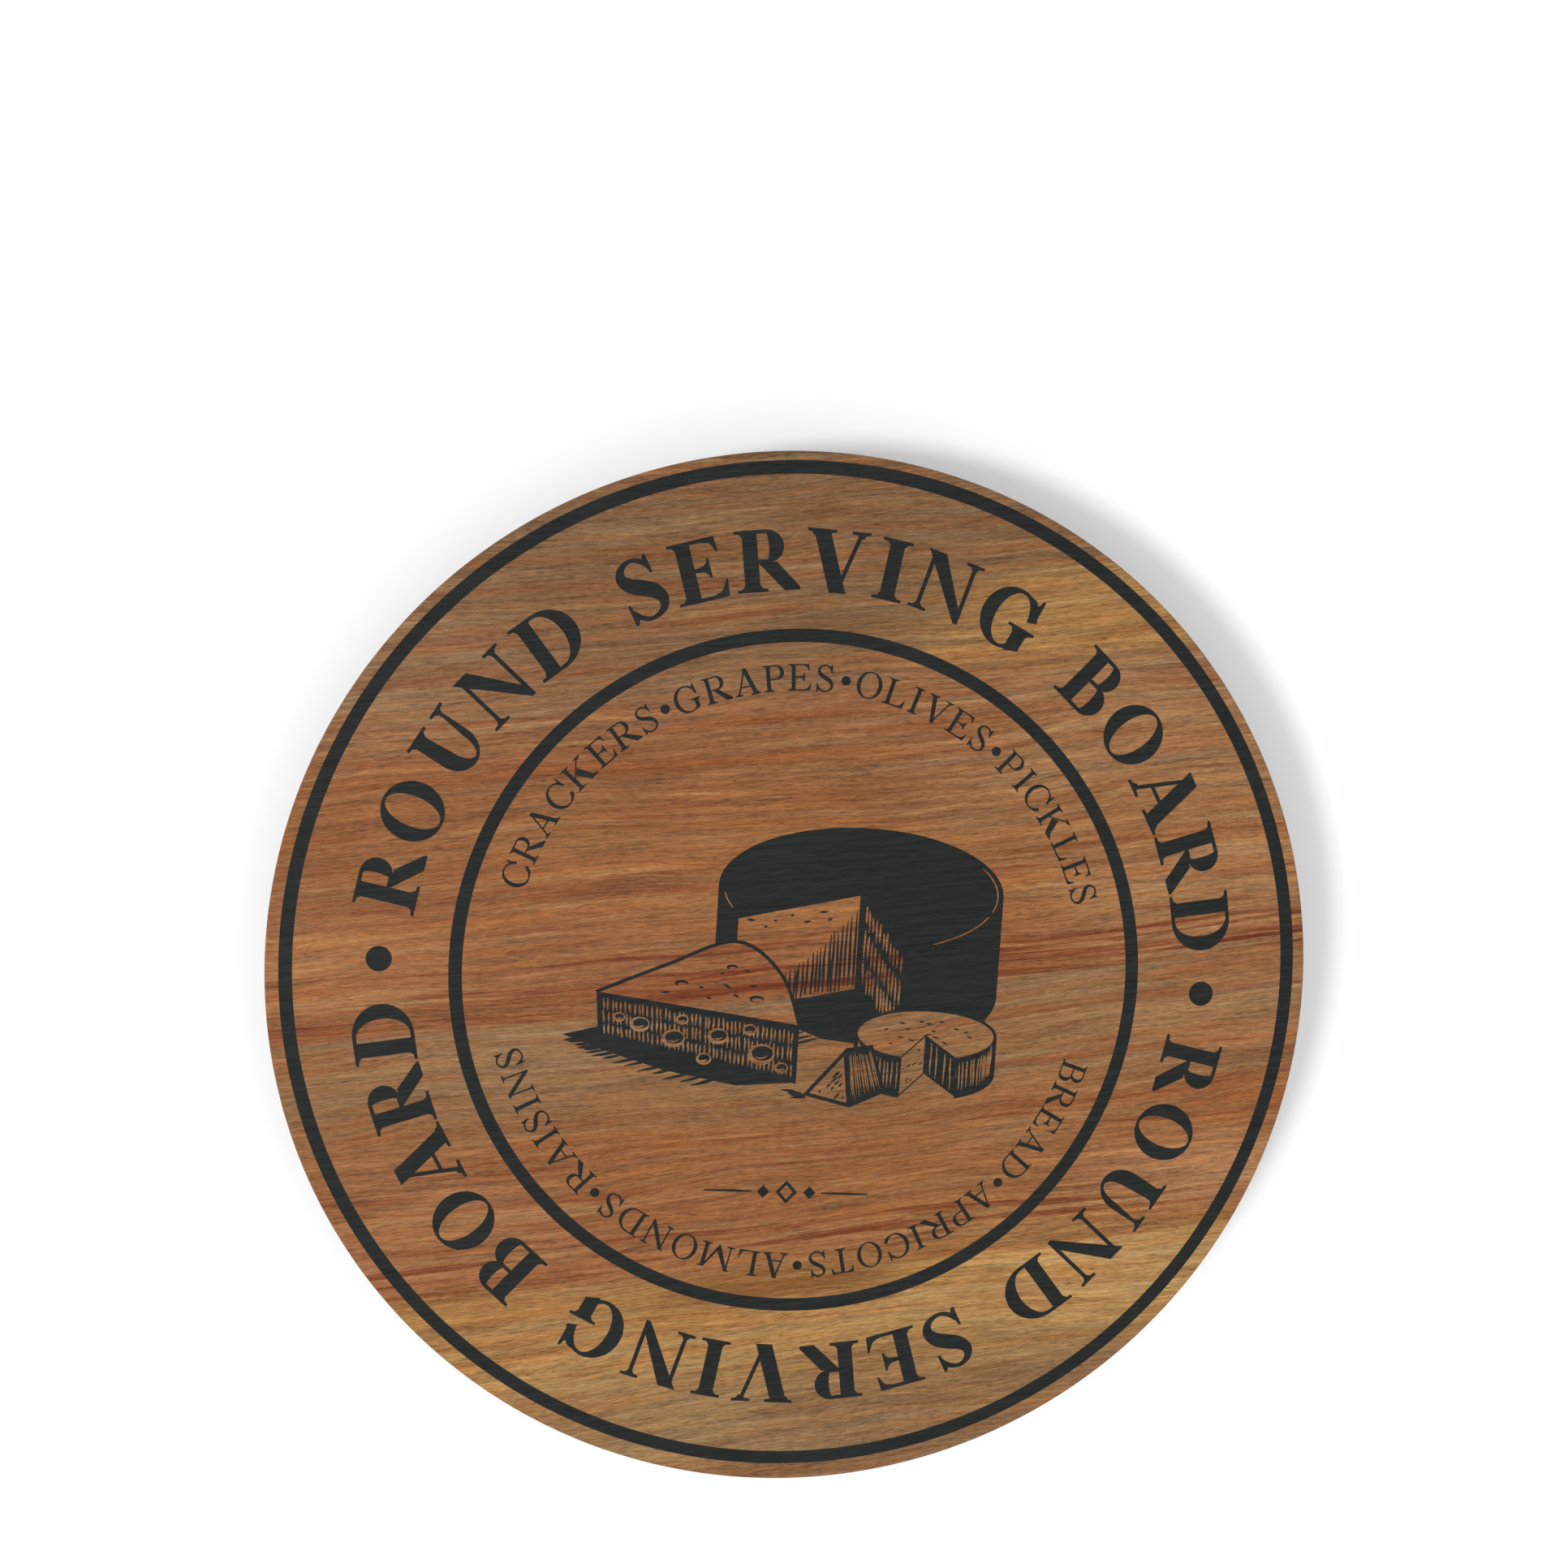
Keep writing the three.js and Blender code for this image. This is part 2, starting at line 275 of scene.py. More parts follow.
def skinned(bm, loops, closed=False):
    """Faces from each ring of points to the next, and from the last to the first if closed, or
    else flat ends."""
    for lower, upper in zip(loops, loops[1:] + loops[:1] if closed else loops[1:]):
        for i in range(len(lower)):
            j = (i + 1) % len(lower)
            bm.faces.new((lower[i], lower[j], upper[j], upper[i]))
    if not closed:
        bm.faces.new(loops[0][::-1])
        bm.faces.new(loops[-1])
    return bm


def turned(profile, segments, closed=False):
    """Turns a profile of (radius, height) points in mm about the Z axis, as on a lathe. An open
    profile is closed with a flat face at each end."""
    bm = bmesh.new()
    return skinned(bm, [ring_of_points(bm, r, z, segments) for r, z in profile], closed)


def as_object(bm, name, material, smooth_under=40.0):
    """Turns a bmesh into an object that is smooth but for edges sharper than an angle."""
    bm.normal_update()
    mesh = bpy.data.meshes.new(name)
    bm.to_mesh(mesh)
    bm.free()
    mesh.shade_smooth()
    mesh.set_sharp_from_angle(angle=math.radians(smooth_under))
    mesh.materials.append(material)
    made = bpy.data.objects.new(name, mesh)
    bpy.context.scene.collection.objects.link(made)
    return made


def sawn(bm, low, high):
    """The strip of a closed shape between two planes across Y, in metres, with flat sawn sides."""
    strip = bm.copy()
    for y, side in ((high, 1), (low, -1)):
        everything = strip.verts[:] + strip.edges[:] + strip.faces[:]
        if side * y < max(side * v.co.y for v in strip.verts) - 1e-6:
            plane = {"plane_co": (0, y, 0), "plane_no": (0, side, 0)}
            cut = bmesh.ops.bisect_plane(strip, geom=everything, clear_outer=True, **plane)
            edges = [g for g in cut["geom_cut"] if isinstance(g, bmesh.types.BMEdge)]
            bmesh.ops.contextual_create(strip, geom=edges)
    bmesh.ops.recalc_face_normals(strip, faces=strip.faces)
    return strip


def cut_from(made, tool):
    """Takes one object's shape out of another's, and puts the tool away."""
    step = made.modifiers.new("cut", "BOOLEAN")
    step.operation = "DIFFERENCE"
    step.solver = "EXACT"
    step.object = tool
    graph = bpy.context.evaluated_depsgraph_get()
    mesh = bpy.data.meshes.new_from_object(made.evaluated_get(graph))
    made.modifiers.clear()
    old, made.data = made.data, mesh
    bpy.data.meshes.remove(old)
    bpy.data.objects.remove(tool)
    mesh.name = made.name
    mesh.set_sharp_from_angle(angle=math.radians(40))


def drilled(made, diameter, depth, places, segments=48):
    """Cuts round holes, in mm, along the Z axis of each place, which is at the middle of its hole."""
    bm = bmesh.new()
    size = {"radius1": diameter / 2 * MM, "radius2": diameter / 2 * MM, "depth": depth * MM}
    for place in places:
        bmesh.ops.create_cone(bm, cap_ends=True, segments=segments, matrix=place, **size)
    cut_from(made, as_object(bm, "drill", made.data.materials[0]))


def middle_of(node):
    """The middle of a node's box."""
    low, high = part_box(node)
    return (low + high) / 2


def glued_round(node, below, above, segments):
    """The whole round that a middle plank is part of, as it comes off the lathe, with its edges
    softened below and above."""
    low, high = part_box(node)
    radius = high.x / MM
    foot = rounding(radius - below, low.z / MM + below, below, -90)
    return turned(foot + rounding(radius - above, high.z / MM - above, above, 0), segments)


base_round = glued_round("base_plank_2", BASE_EDGE, BASE_EDGE, BASE_SEGMENTS)
base_planks = {
    1: ([(0.0, "8a6341"), (0.4, "966d47"), (1.0, "86603f")], (96.0, -48.0)),
    2: ([(0.0, "825a3a"), (0.5, "8f613c"), (1.0, "86593a")], (-22.0, 75.0)),
    3: ([(0.0, "9a774b"), (0.6, "8f6a45"), (1.0, "876344")], (-140.0, -52.0)),
}
access = middle_of("top_screw_1")
for number, (bands, pith) in base_planks.items():
    node = f"base_plank_{number}"
    low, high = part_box(node)
    name = f"oiled_acacia_base_{number}"
    wood = acacia(name, low.y / MM, high.y / MM, bands, pith=pith, shift=50.0 + 9 * number)
    plank = as_object(sawn(base_round, low.y, high.y), f"base_board_{number}", wood)
    if low.y < access.y < high.y:
        place = Matrix.Translation((access.x, access.y, (low.z + high.z) / 2))
        drilled(plank, ACCESS_HOLE, 2 * (high.z - low.z) / MM, [place])
    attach(plank, "base")
    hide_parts(node)
base_round.free()

# ---------------------------------------------------------------------------------------------
# Feet: four moulded discs of black nitrile rubber, stuck under the base. Each has a rounded rim
# and a shallow dish in its sole, so that it grips.

FOOT_SEGMENTS = 96
FOOT_EDGE = 0.7
FOOT_CENTRE = 0.2  # radius of the flat at the middle of a face
DISH_RADIUS = 5.5
DISH_SLOPE = 1.2
DISH_DEPTH = 0.4

rubber, tree, shader = new_material("moulded_nitrile_rubber", Roughness=0.8, IOR=1.52)
place = add_node(tree, "TexCoord", out="Object")
bloom = stretched_noise(tree, place, (3, 3, 3), 3)
# The mould's blasted skin, with pits of about 0.3 mm.
skin = stretched_noise(tree, place, (0.3, 0.3, 0.3), 2)
set_surface(tree, shader, two_tone(tree, bloom, 0.4, 0.7, "1c1c1c", "2b2a29"), relief=(skin, 0.4, 0.05))

for number in range(1, 5):
    node = f"rubber_foot_{number}"
    low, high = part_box(node)
    edge = (high.x - low.x) / 2 / MM - FOOT_EDGE
    foot_height = (high.z - low.z) / MM
    profile = [
        (FOOT_CENTRE, DISH_DEPTH),
        (DISH_RADIUS - DISH_SLOPE, DISH_DEPTH),
        (DISH_RADIUS, 0.0),
        *rounding(edge, FOOT_EDGE, FOOT_EDGE, -90),
        *rounding(edge, foot_height - FOOT_EDGE, FOOT_EDGE, 0),
        (FOOT_CENTRE, foot_height),
    ]
    foot = turned(profile, FOOT_SEGMENTS)
    middle = middle_of(node)
    bmesh.ops.translate(foot, verts=foot.verts, vec=(middle.x, middle.y, low.z))
    foot = as_object(foot, f"foot_{number}", rubber, 50)
    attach(foot, "base")
    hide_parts(node)

# ---------------------------------------------------------------------------------------------
# Outer ring: the fixed half of the bearing, turned from aluminium and clear anodised. Its inner
# wall has the groove for the balls. Four screws hold it down on the base.

RING_SEGMENTS = 288
RING_CHAMFER = 0.4
RING_GAP = 1.2  # between the two rings
GROOVE_RADIUS = 2.15
SCREW_HOLE = 4.1
HEAD_SEAT = 7.8
SEAT_DEPTH = 2.4
TOOL_MARK = 0.25  # 0.1 mm on the real ring, drawn coarser so that it shows

aluminium, tree, shader = new_material("turned_anodised_aluminium", Metallic=1.0)
place = add_node(tree, "TexCoord", out="Object")
flat = add_node(tree, "VectorMath", place, (1, 1, 0), **TIMES)
distance = add_node(tree, "VectorMath", flat, out="Value", operation="LENGTH")
height = add_node(tree, "SeparateXYZ", place, out="Z")
path = add_node(tree, "Math", distance, height, operation="ADD")
path = add_node(tree, "Math", path, TOOL_MARK * MM, operation="DIVIDE")
marks = add_node(tree, "TexNoise", {"W": path, "Scale": 1.0, "Detail": 2.0}, noise_dimensions="1D")
metal = two_tone(tree, stretched_noise(tree, place, (12, 12, 12), 2), 0.3, 0.7, "c3c5c7", "d2d3d4")
set_surface(tree, shader, metal, gloss=(marks, 0.22, 0.24), relief=(marks, 0.3, 0.02))


def race(pitch, height, side, low, high, steps=16):
    """The wall that faces the balls, from bottom to top: plain, with a round groove."""
    half = math.acos(RING_GAP / 2 / GROOVE_RADIUS)
    angles = [half * (2 * i / steps - 1) for i in range(steps + 1)]
    groove = [
        (pitch + side * GROOVE_RADIUS * math.cos(a), height + GROOVE_RADIUS * math.sin(a)) for a in angles
    ]
    wall = pitch + side * RING_GAP / 2
    return [(wall, low), *groove, (wall, high)]


def plain_wall(radius, low, high, inwards):
    """A ring's plain side, from bottom to top, with chamfered corners."""
    inset = radius + inwards * RING_CHAMFER
    return [(inset, low), (radius, low + RING_CHAMFER), (radius, high - RING_CHAMFER), (inset, high)]


def bearing_ring(name, node, body, radius, side, screw, face):
    """One ring: its plain wall at a radius, its groove on one side of the balls, and holes for its
    four screws, whose heads sit in a face at a height in metres."""
    low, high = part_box(node)
    heights = (low.z / MM, high.z / MM)
    plain = plain_wall(radius, *heights, -side)
    groove = race(pitch_radius, ball_height, side, *heights)
    ring = turned(plain + groove[::-1] if side > 0 else groove + plain[::-1], RING_SEGMENTS, closed=True)
    made = as_object(ring, name, aluminium, 30)
    spots = [middle_of(f"{screw}_{number}") for number in range(1, 5)]
    for diameter, depth, height in ((SCREW_HOLE, 20, middle_of(node).z), (HEAD_SEAT, 2 * SEAT_DEPTH, face)):
        drilled(made, diameter, depth, [Matrix.Translation((p.x, p.y, height)) for p in spots])
    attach(made, body)
    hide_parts(node)


ball_middle = middle_of("bearing_ball_01")
pitch_radius = ball_middle.x / MM
ball_height = ball_middle.z / MM
outer_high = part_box("bearing_outer_ring")[1]
outer_radius = outer_high.x / MM
bearing_ring("outer_ring", "bearing_outer_ring", "base", outer_radius, 1, "base_screw", outer_high.z)

# ---------------------------------------------------------------------------------------------
# Base screws: four pan-head wood screws of cold-formed steel, zinc plated, with a rolled thread
# and a cross recess.

SCREW_SEGMENTS = 48
SCREW_SHANK = 3.5
SCREW_TIP = 3.0
SCREW_CORE = 0.68  # share of the shank's radius that is left between the threads
THREAD_PITCH = 1.35
THREAD_STEPS = 11  # mesh rows along one turn of the thread
HEAD_RIM = 0.75  # height of the head's straight side
RECESS_ARM = 0.95
RECESS_LONG = 4.0
RECESS_DEPTH = 1.3
RECESS_TAPER = 0.45  # share of its length that an arm has left at the bottom

zinc, tree, shader = new_material("zinc_plated_steel", Metallic=1.0)
place = add_node(tree, "TexCoord", out="Object")
metal = two_tone(tree, stretched_noise(tree, place, (4, 4, 4), 3), 0.35, 0.65, "b7bcc0", "c2bfb2")
# Crystals of the plating are far under 0.1 mm; they are drawn 0.2 mm wide so that they show.
crystals = stretched_noise(tree, place, (0.2, 0.2, 0.2), 2)
set_surface(tree, shader, metal, gloss=(crystals, 0.24, 0.2))


def screw_mesh(length, head, crown):
    """A wood screw that points down, with the underside of its head at height 0."""
    rows = round(length / THREAD_PITCH * THREAD_STEPS)
    bm = bmesh.new()
    loops = []
    for row in range(rows + 1):
        z = -length * (1 - row / rows)
        reach = min(1.0, (z + length) / SCREW_TIP * 0.94 + 0.06)
        loop = []
        for i in range(SCREW_SEGMENTS):
            turn = i / SCREW_SEGMENTS
            phase = (z / THREAD_PITCH - turn) % 1.0
            crest = max(0.0, 1 - abs(phase - 0.5) / 0.22) if z < -0.5 else 1.0
            r = SCREW_SHANK / 2 * reach * (SCREW_CORE + (1 - SCREW_CORE) * crest)
            angle = 2 * math.pi * turn
            loop.append(bm.verts.new((r * math.cos(angle) * MM, r * math.sin(angle) * MM, z * MM)))
        loops.append(loop)
    side = [(head - 0.25, 0.0), (head, 0.2), (head, HEAD_RIM)]
    angles = [math.radians(a) for a in range(10, 90, 10)]
    dome = [(head * math.cos(a), HEAD_RIM + (crown - HEAD_RIM) * math.sin(a)) for a in angles]
    loops += [ring_of_points(bm, r, z, SCREW_SEGMENTS) for r, z in side + dome]
    return skinned(bm, loops)


def recess_bar(crown, turn):
    """The punch for one arm of the cross in the head, tapering as it goes in."""
    bm = bmesh.new()
    for vert in bmesh.ops.create_cube(bm, size=1.0)["verts"]:
        taper = 1.0 if vert.co.z > 0 else RECESS_TAPER
        vert.co.x *= RECESS_LONG * MM * taper
        vert.co.y *= RECESS_ARM * MM * (0.6 + 0.4 * taper)
        vert.co.z = (vert.co.z * 2 * RECESS_DEPTH + crown) * MM
    bmesh.ops.rotate(bm, verts=bm.verts, matrix=Matrix.Rotation(math.radians(turn), 3, "Z"))
    return bm


def drive_screws(ring, body, seat_height, points_up, turns):
    """Makes a ring's four screws, each turned to where it came to rest, and lets them ride."""
    for number, turn in enumerate(turns, 1):
        node = f"{ring}_screw_{number}"
        low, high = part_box(node)
        middle = middle_of(node)
        length, crown = (seat_height - low.z) / MM, (high.z - seat_height) / MM
        if points_up:
            length, crown = crown, length
        mesh = screw_mesh(length, (high.x - low.x) / 2 / MM, crown)
        made = as_object(mesh, f"{ring}_wood_screw_{number}", zinc, 35)
        for arm_turn in (0, 90):
            cut_from(made, as_object(recess_bar(crown, arm_turn), "punch", zinc))
        way = Matrix.Rotation(math.pi if points_up else 0, 4, "X")
        seat = Matrix.Translation((middle.x, middle.y, seat_height))
        made.data.transform(seat @ way @ Matrix.Rotation(math.radians(turn), 4, "Z"))
        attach(made, body)
        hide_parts(node)


drive_screws("base", "base", outer_high.z - SEAT_DEPTH * MM, False, (12, 55, 31, 78))

# ---------------------------------------------------------------------------------------------
# Balls and cage: sixteen ground and polished steel balls run in the two grooves. A thin strip of
# natural nylon, moulded with a pocket for each ball, keeps them apart.

BALL_POCKET = 4.4
CAGE_WALL = 0.7

steel, tree, shader = new_material("polished_ball_steel", Metallic=1.0)
place = add_node(tree, "TexCoord", out="Object")
grease = stretched_noise(tree, place, (2, 2, 2), 3)
set_surface(tree, shader, two_tone(tree, grease, 0.5, 0.7, "d9dadb", "c4c2ba"), gloss=(grease, 0.16, 0.03))

nylon, tree, shader = new_material("natural_nylon", IOR=1.53, Subsurface_Weight=0.15)
place = add_node(tree, "TexCoord", out="Object")
flow = stretched_noise(tree, place, (9, 9, 3), 3)
set_surface(tree, shader, two_tone(tree, flow, 0.3, 0.7, "e3e0d2", "efede4"), gloss=(flow, 0.2, 0.36))

low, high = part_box("ball_cage")
inside, outside = pitch_radius - CAGE_WALL / 2, pitch_radius + CAGE_WALL / 2
strip = [(inside, low.z / MM), (outside, low.z / MM), (outside, high.z / MM), (inside, high.z / MM)]
cage = as_object(turned(strip, RING_SEGMENTS, closed=True), "nylon_ball_cage", nylon, 30)
pockets = []
for number in range(1, 17):
    node = f"bearing_ball_{number:02d}"
    middle = middle_of(node)
    low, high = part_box(node)
    bm = bmesh.new()
    shape = {"matrix": Matrix.Translation(middle), "u_segments": 48, "v_segments": 24}
    bmesh.ops.create_uvsphere(bm, radius=(high.z - low.z) / 2, **shape)
    ball = as_object(bm, f"steel_ball_{number:02d}", steel, 60)
    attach(ball, "ball_ring")
    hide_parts(node)
    outwards = Vector((middle.x, middle.y, 0)).to_track_quat("Z", "X").to_matrix().to_4x4()
    pockets.append(Matrix.Translation(middle) @ outwards)
drilled(cage, BALL_POCKET, 5, pockets)
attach(cage, "ball_ring")
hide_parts("ball_cage")

# ---------------------------------------------------------------------------------------------
# Inner ring: the turning half of the bearing, of the same turned aluminium. It stands 1 mm higher
# than the outer ring, and four more screws hold it up to the top.

INNER_RING_WIDTH = 17.4

inner_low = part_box("bearing_inner_ring")[0]
bore_radius = pitch_radius - RING_GAP / 2 - INNER_RING_WIDTH
bearing_ring("inner_ring", "bearing_inner_ring", "turntable", bore_radius, -1, "top_screw", inner_low.z)
drive_screws("top", "turntable", inner_low.z + SEAT_DEPTH * MM, True, (40, 8, 66, 23))

# ---------------------------------------------------------------------------------------------
# Top: four planks of acacia glued edge to edge, turned round, sanded, and oiled. The planks come
# from different boards, so each has its own colour and its own lie of the heartwood.

TOP_SEGMENTS = 512
TOP_EDGE_ABOVE = 1.0
TOP_EDGE_BELOW = 2.5

top_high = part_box("top_plank_2")[1]
top_round = glued_round("top_plank_2", TOP_EDGE_BELOW, TOP_EDGE_ABOVE, TOP_SEGMENTS)
top_planks = {
    1: {
        "bands": [(0.0, "896547"), (0.12, "836244"), (0.4, "7f5f42"), (0.75, "7f6143"), (1.0, "7c5c40")],
        "patches": [
            (118, 132, 75, 24, "a97f4c", 0.95),
            (-150, 132, 70, 30, "927152", 0.7),
            (30, 140, 60, 12, "72563a", 0.6),
        ],
        "streaks": [(150, 20, 0.1)],
        "pith": (60.0, -120.0),
        "shift": 3.0,
    },
    2: {
        "bands": [(0.0, "8f5c39"), (0.08, "8d5a38"), (0.25, "96653f"), (0.5, "95643d"), (0.8, "8e5e3a"),
                  (1.0, "8e6142")],
        "patches": [
            (-170, 22, 55, 22, "a3734b", 0.8),
            (-150, 42, 60, 12, "8b5a38", 0.5),
            (175, 22, 70, 26, "ab835b", 0.75),
            (160, 78, 110, 34, "a27b56", 0.8),
        ],
        "streaks": [(3, 15, 1.0), (16, 8, 0.8), (40, 12, 0.45), (66, 12, 0.35)],
        "pith": (20.0, -30.0),
        "shift": 6.0,
    },
    3: {
        "bands": [(0.0, "98663f"), (0.2, "95633c"), (0.45, "94623c"), (0.6, "8c623f"), (0.75, "8b6744"),
                  (1.0, "8f6a48")],
        "patches": [
            (-120, -26, 110, 16, "957250", 0.7),
            (150, -28, 80, 24, "a07652", 0.7),
            (160, -92, 70, 20, "aa7c56", 0.8),
            (80, -101, 60, 9, "aa7c4c", 0.75),
            (90, -62, 60, 14, "a0724a", 0.5),
            (-150, -84, 60, 22, "a0704a", 0.7),
        ],
        "streaks": [(-98, 12, 0.85), (-66, 14, 0.6)],
        "pith": (-70.0, -80.0),
        "shift": 9.0,
    },
    4: {
        "bands": [(0.0, "8a6a4a"), (0.3, "8b6948"), (0.45, "96734b"), (0.58, "ad8654"), (0.75, "ab8350"),
                  (0.9, "a07443"), (1.0, "9b6e42")],
        "patches": [
            (105, -128, 85, 20, "bb935e", 0.9),
            (-10, -121, 55, 10, "80592f", 1.0),
            (-70, -172, 60, 16, "9f8055", 0.7),
        ],
        "streaks": [(-150, 30, 0.12)],
        "pith": (-150.0, -90.0),
        "shift": 12.0,
    },
}
for number, look in top_planks.items():
    node = f"top_plank_{number}"
    low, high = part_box(node)
    wood = acacia(f"oiled_acacia_top_{number}", low.y / MM, high.y / MM, **look)
    plank = as_object(sawn(top_round, low.y, high.y), f"top_board_{number}", wood)
    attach(plank, "turntable")
    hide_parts(node)
top_round.free()

# ---------------------------------------------------------------------------------------------
# Print, rings and dots: black ink, screen printed straight on the sanded wood and dried matt. It
# is a few hundredths of a millimetre thick, and the grain shows through it as faint streaks.

PRINT_TOP = 0.05
PRINT_THICKNESS = 0.07
PRINT_MIDDLE = (0.4, 1.5)
PRINT_TURN = -8.1  # degrees from the grain to the line through the two large dots
RINGS = {"outer_ring_print": (195.0, 190.0), "inner_ring_print": (132.65, 127.65)}
DOT_CIRCLE = 158.4
DOT_RADIUS = 4.8

ink, tree, shader = new_material("screen_printed_black_ink", IOR=1.48, Specular_IOR_Level=0.12)
place = add_node(tree, "TexCoord", out="Object")
veins = stretched_noise(tree, place, (26, 1.1, 1.1), 4, 0.62)
fibres = stretched_noise(tree, place, (7, 0.5, 0.5), 3, 0.6)
tone = add_node(tree, "Math", veins, 0.5, **TIMES)
tone = add_node(tree, "Math", fibres, 0.5, tone, **TIMES_PLUS)
black = two_tone(tree, tone, 0.36, 0.64, "151918", "242726")
set_surface(tree, shader, black, gloss=(fibres, 0.2, 0.5), relief=(tone, 0.3, 0.08))


def printed(name, strokes):
    """A film of ink on the top's face. strokes are (is ink, outline) in mm in the print's own
    frame, each laid over the last, so that a bare stroke leaves the wood showing."""
    points, outlines = [], []
    for inked, outline in strokes:
        outline = [p for p, q in zip(outline, outline[-1:] + outline[:-1]) if math.dist(p, q) > 1e-3]
        area = sum(x0 * y1 - x1 * y0 for (x0, y0), (x1, y1) in zip(outline, outline[1:] + outline[:1]))
        outline = outline if area > 0 else outline[::-1]
        outlines.append(list(range(len(points), len(points) + len(outline))))
        points += [Vector(p) for p in outline]
    corners, _, triangles, _, _, sources = geometry.delaunay_2d_cdt(points, [], outlines, 1, 1e-4)
    turn = Matrix.Rotation(math.radians(PRINT_TURN), 4, "Z")
    face = Matrix.Translation((*[c * MM for c in PRINT_MIDDLE], top_high.z + PRINT_TOP * MM))
    place = face @ turn @ Matrix.Scale(MM, 4)
    bm = bmesh.new()
    verts = [bm.verts.new(place @ corner.to_3d()) for corner in corners]
    for triangle, over in zip(triangles, sources):
        if over and strokes[max(over)][0]:
            bm.faces.new([verts[i] for i in triangle])
    bmesh.ops.delete(bm, geom=[v for v in bm.verts if not v.link_faces], context="VERTS")
    below = bmesh.ops.extrude_face_region(bm, geom=bm.faces[:], use_keep_orig=True)["geom"]
    below = [g for g in below if isinstance(g, bmesh.types.BMVert)]
    bmesh.ops.translate(bm, verts=below, vec=(0, 0, -PRINT_THICKNESS * MM))
    bmesh.ops.recalc_face_normals(bm, faces=bm.faces)
    film = as_object(bm, name, ink, 30)
    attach(film, "turntable")


def oval(x, y, half_width, half_height, start=0.0, sweep=360.0, steps=28):
    """Points on an oval, from a start angle, anticlockwise."""
    angles = [math.radians(start + sweep * i / steps) for i in range(steps + 1)]
    return [(x + half_width * math.cos(a), y + half_height * math.sin(a)) for a in angles]


def disc(x, y, radius, steps):
    """The outline of a round."""
    return oval(x, y, radius, radius, 0, 360 - 360 / steps, steps - 1)


for name, (outside, inside) in RINGS.items():
    printed(name, [(True, disc(0, 0, outside, 360)), (False, disc(0, 0, inside, 360))])
printed("print_dots", [(True, disc(side * DOT_CIRCLE, 0, DOT_RADIUS, 48)) for side in (-1, 1)])

# ---------------------------------------------------------------------------------------------
# Print, lettering: two bands of roman capitals, bold on the outer band and lighter on the inner.
# The words only say what the board is and what goes on it. Every letter's head points outwards.

OUTER_CAP = 23.0
OUTER_WORDS = "ROUND SERVING BOARD"
INNER_CAP = 10.0
INNER_CIRCLE = 114.4
WORD_SPACE = 0.48


def shifted(strokes, dx, dy=0.0):
    """The same strokes moved sideways or up."""
    return [(ink, [(x + dx, y + dy) for x, y in outline]) for ink, outline in strokes]


def curve(points, steps=6):
    """A smooth curve through points of any number of values each."""
    ends = [points[0], *points, points[-1]]
    made = []
    for a, b, c, d in zip(ends, ends[1:], ends[2:], ends[3:]):
        for i in range(steps):
            t = i / steps
            point = []
            for p, q, r, s in zip(a, b, c, d):
                bend = 2 * p - 5 * q + 4 * r - s + t * (3 * (q - r) + s - p)
                point.append(q + 0.5 * t * (r - p + t * bend))
            made.append(tuple(point))
    return made + [tuple(points[-1])]


def brush(points, steps=6):
    """The outline of a stroke through (x, y, width) points."""
    line = curve(points, steps)
    left, right = [], []
    for i, (x, y, width) in enumerate(line):
        x0, y0, _ = line[max(i - 1, 0)]
        x1, y1, _ = line[min(i + 1, len(line) - 1)]
        length = math.hypot(x1 - x0, y1 - y0) or 1.0
        nx, ny = (y0 - y1) / length * width / 2, (x1 - x0) / length * width / 2
        left.append((x + nx, y + ny))
        right.append((x - nx, y - ny))
    return left + right[::-1]


def solid(*outlines):
    """Inked strokes."""
    return [(True, outline) for outline in outlines]


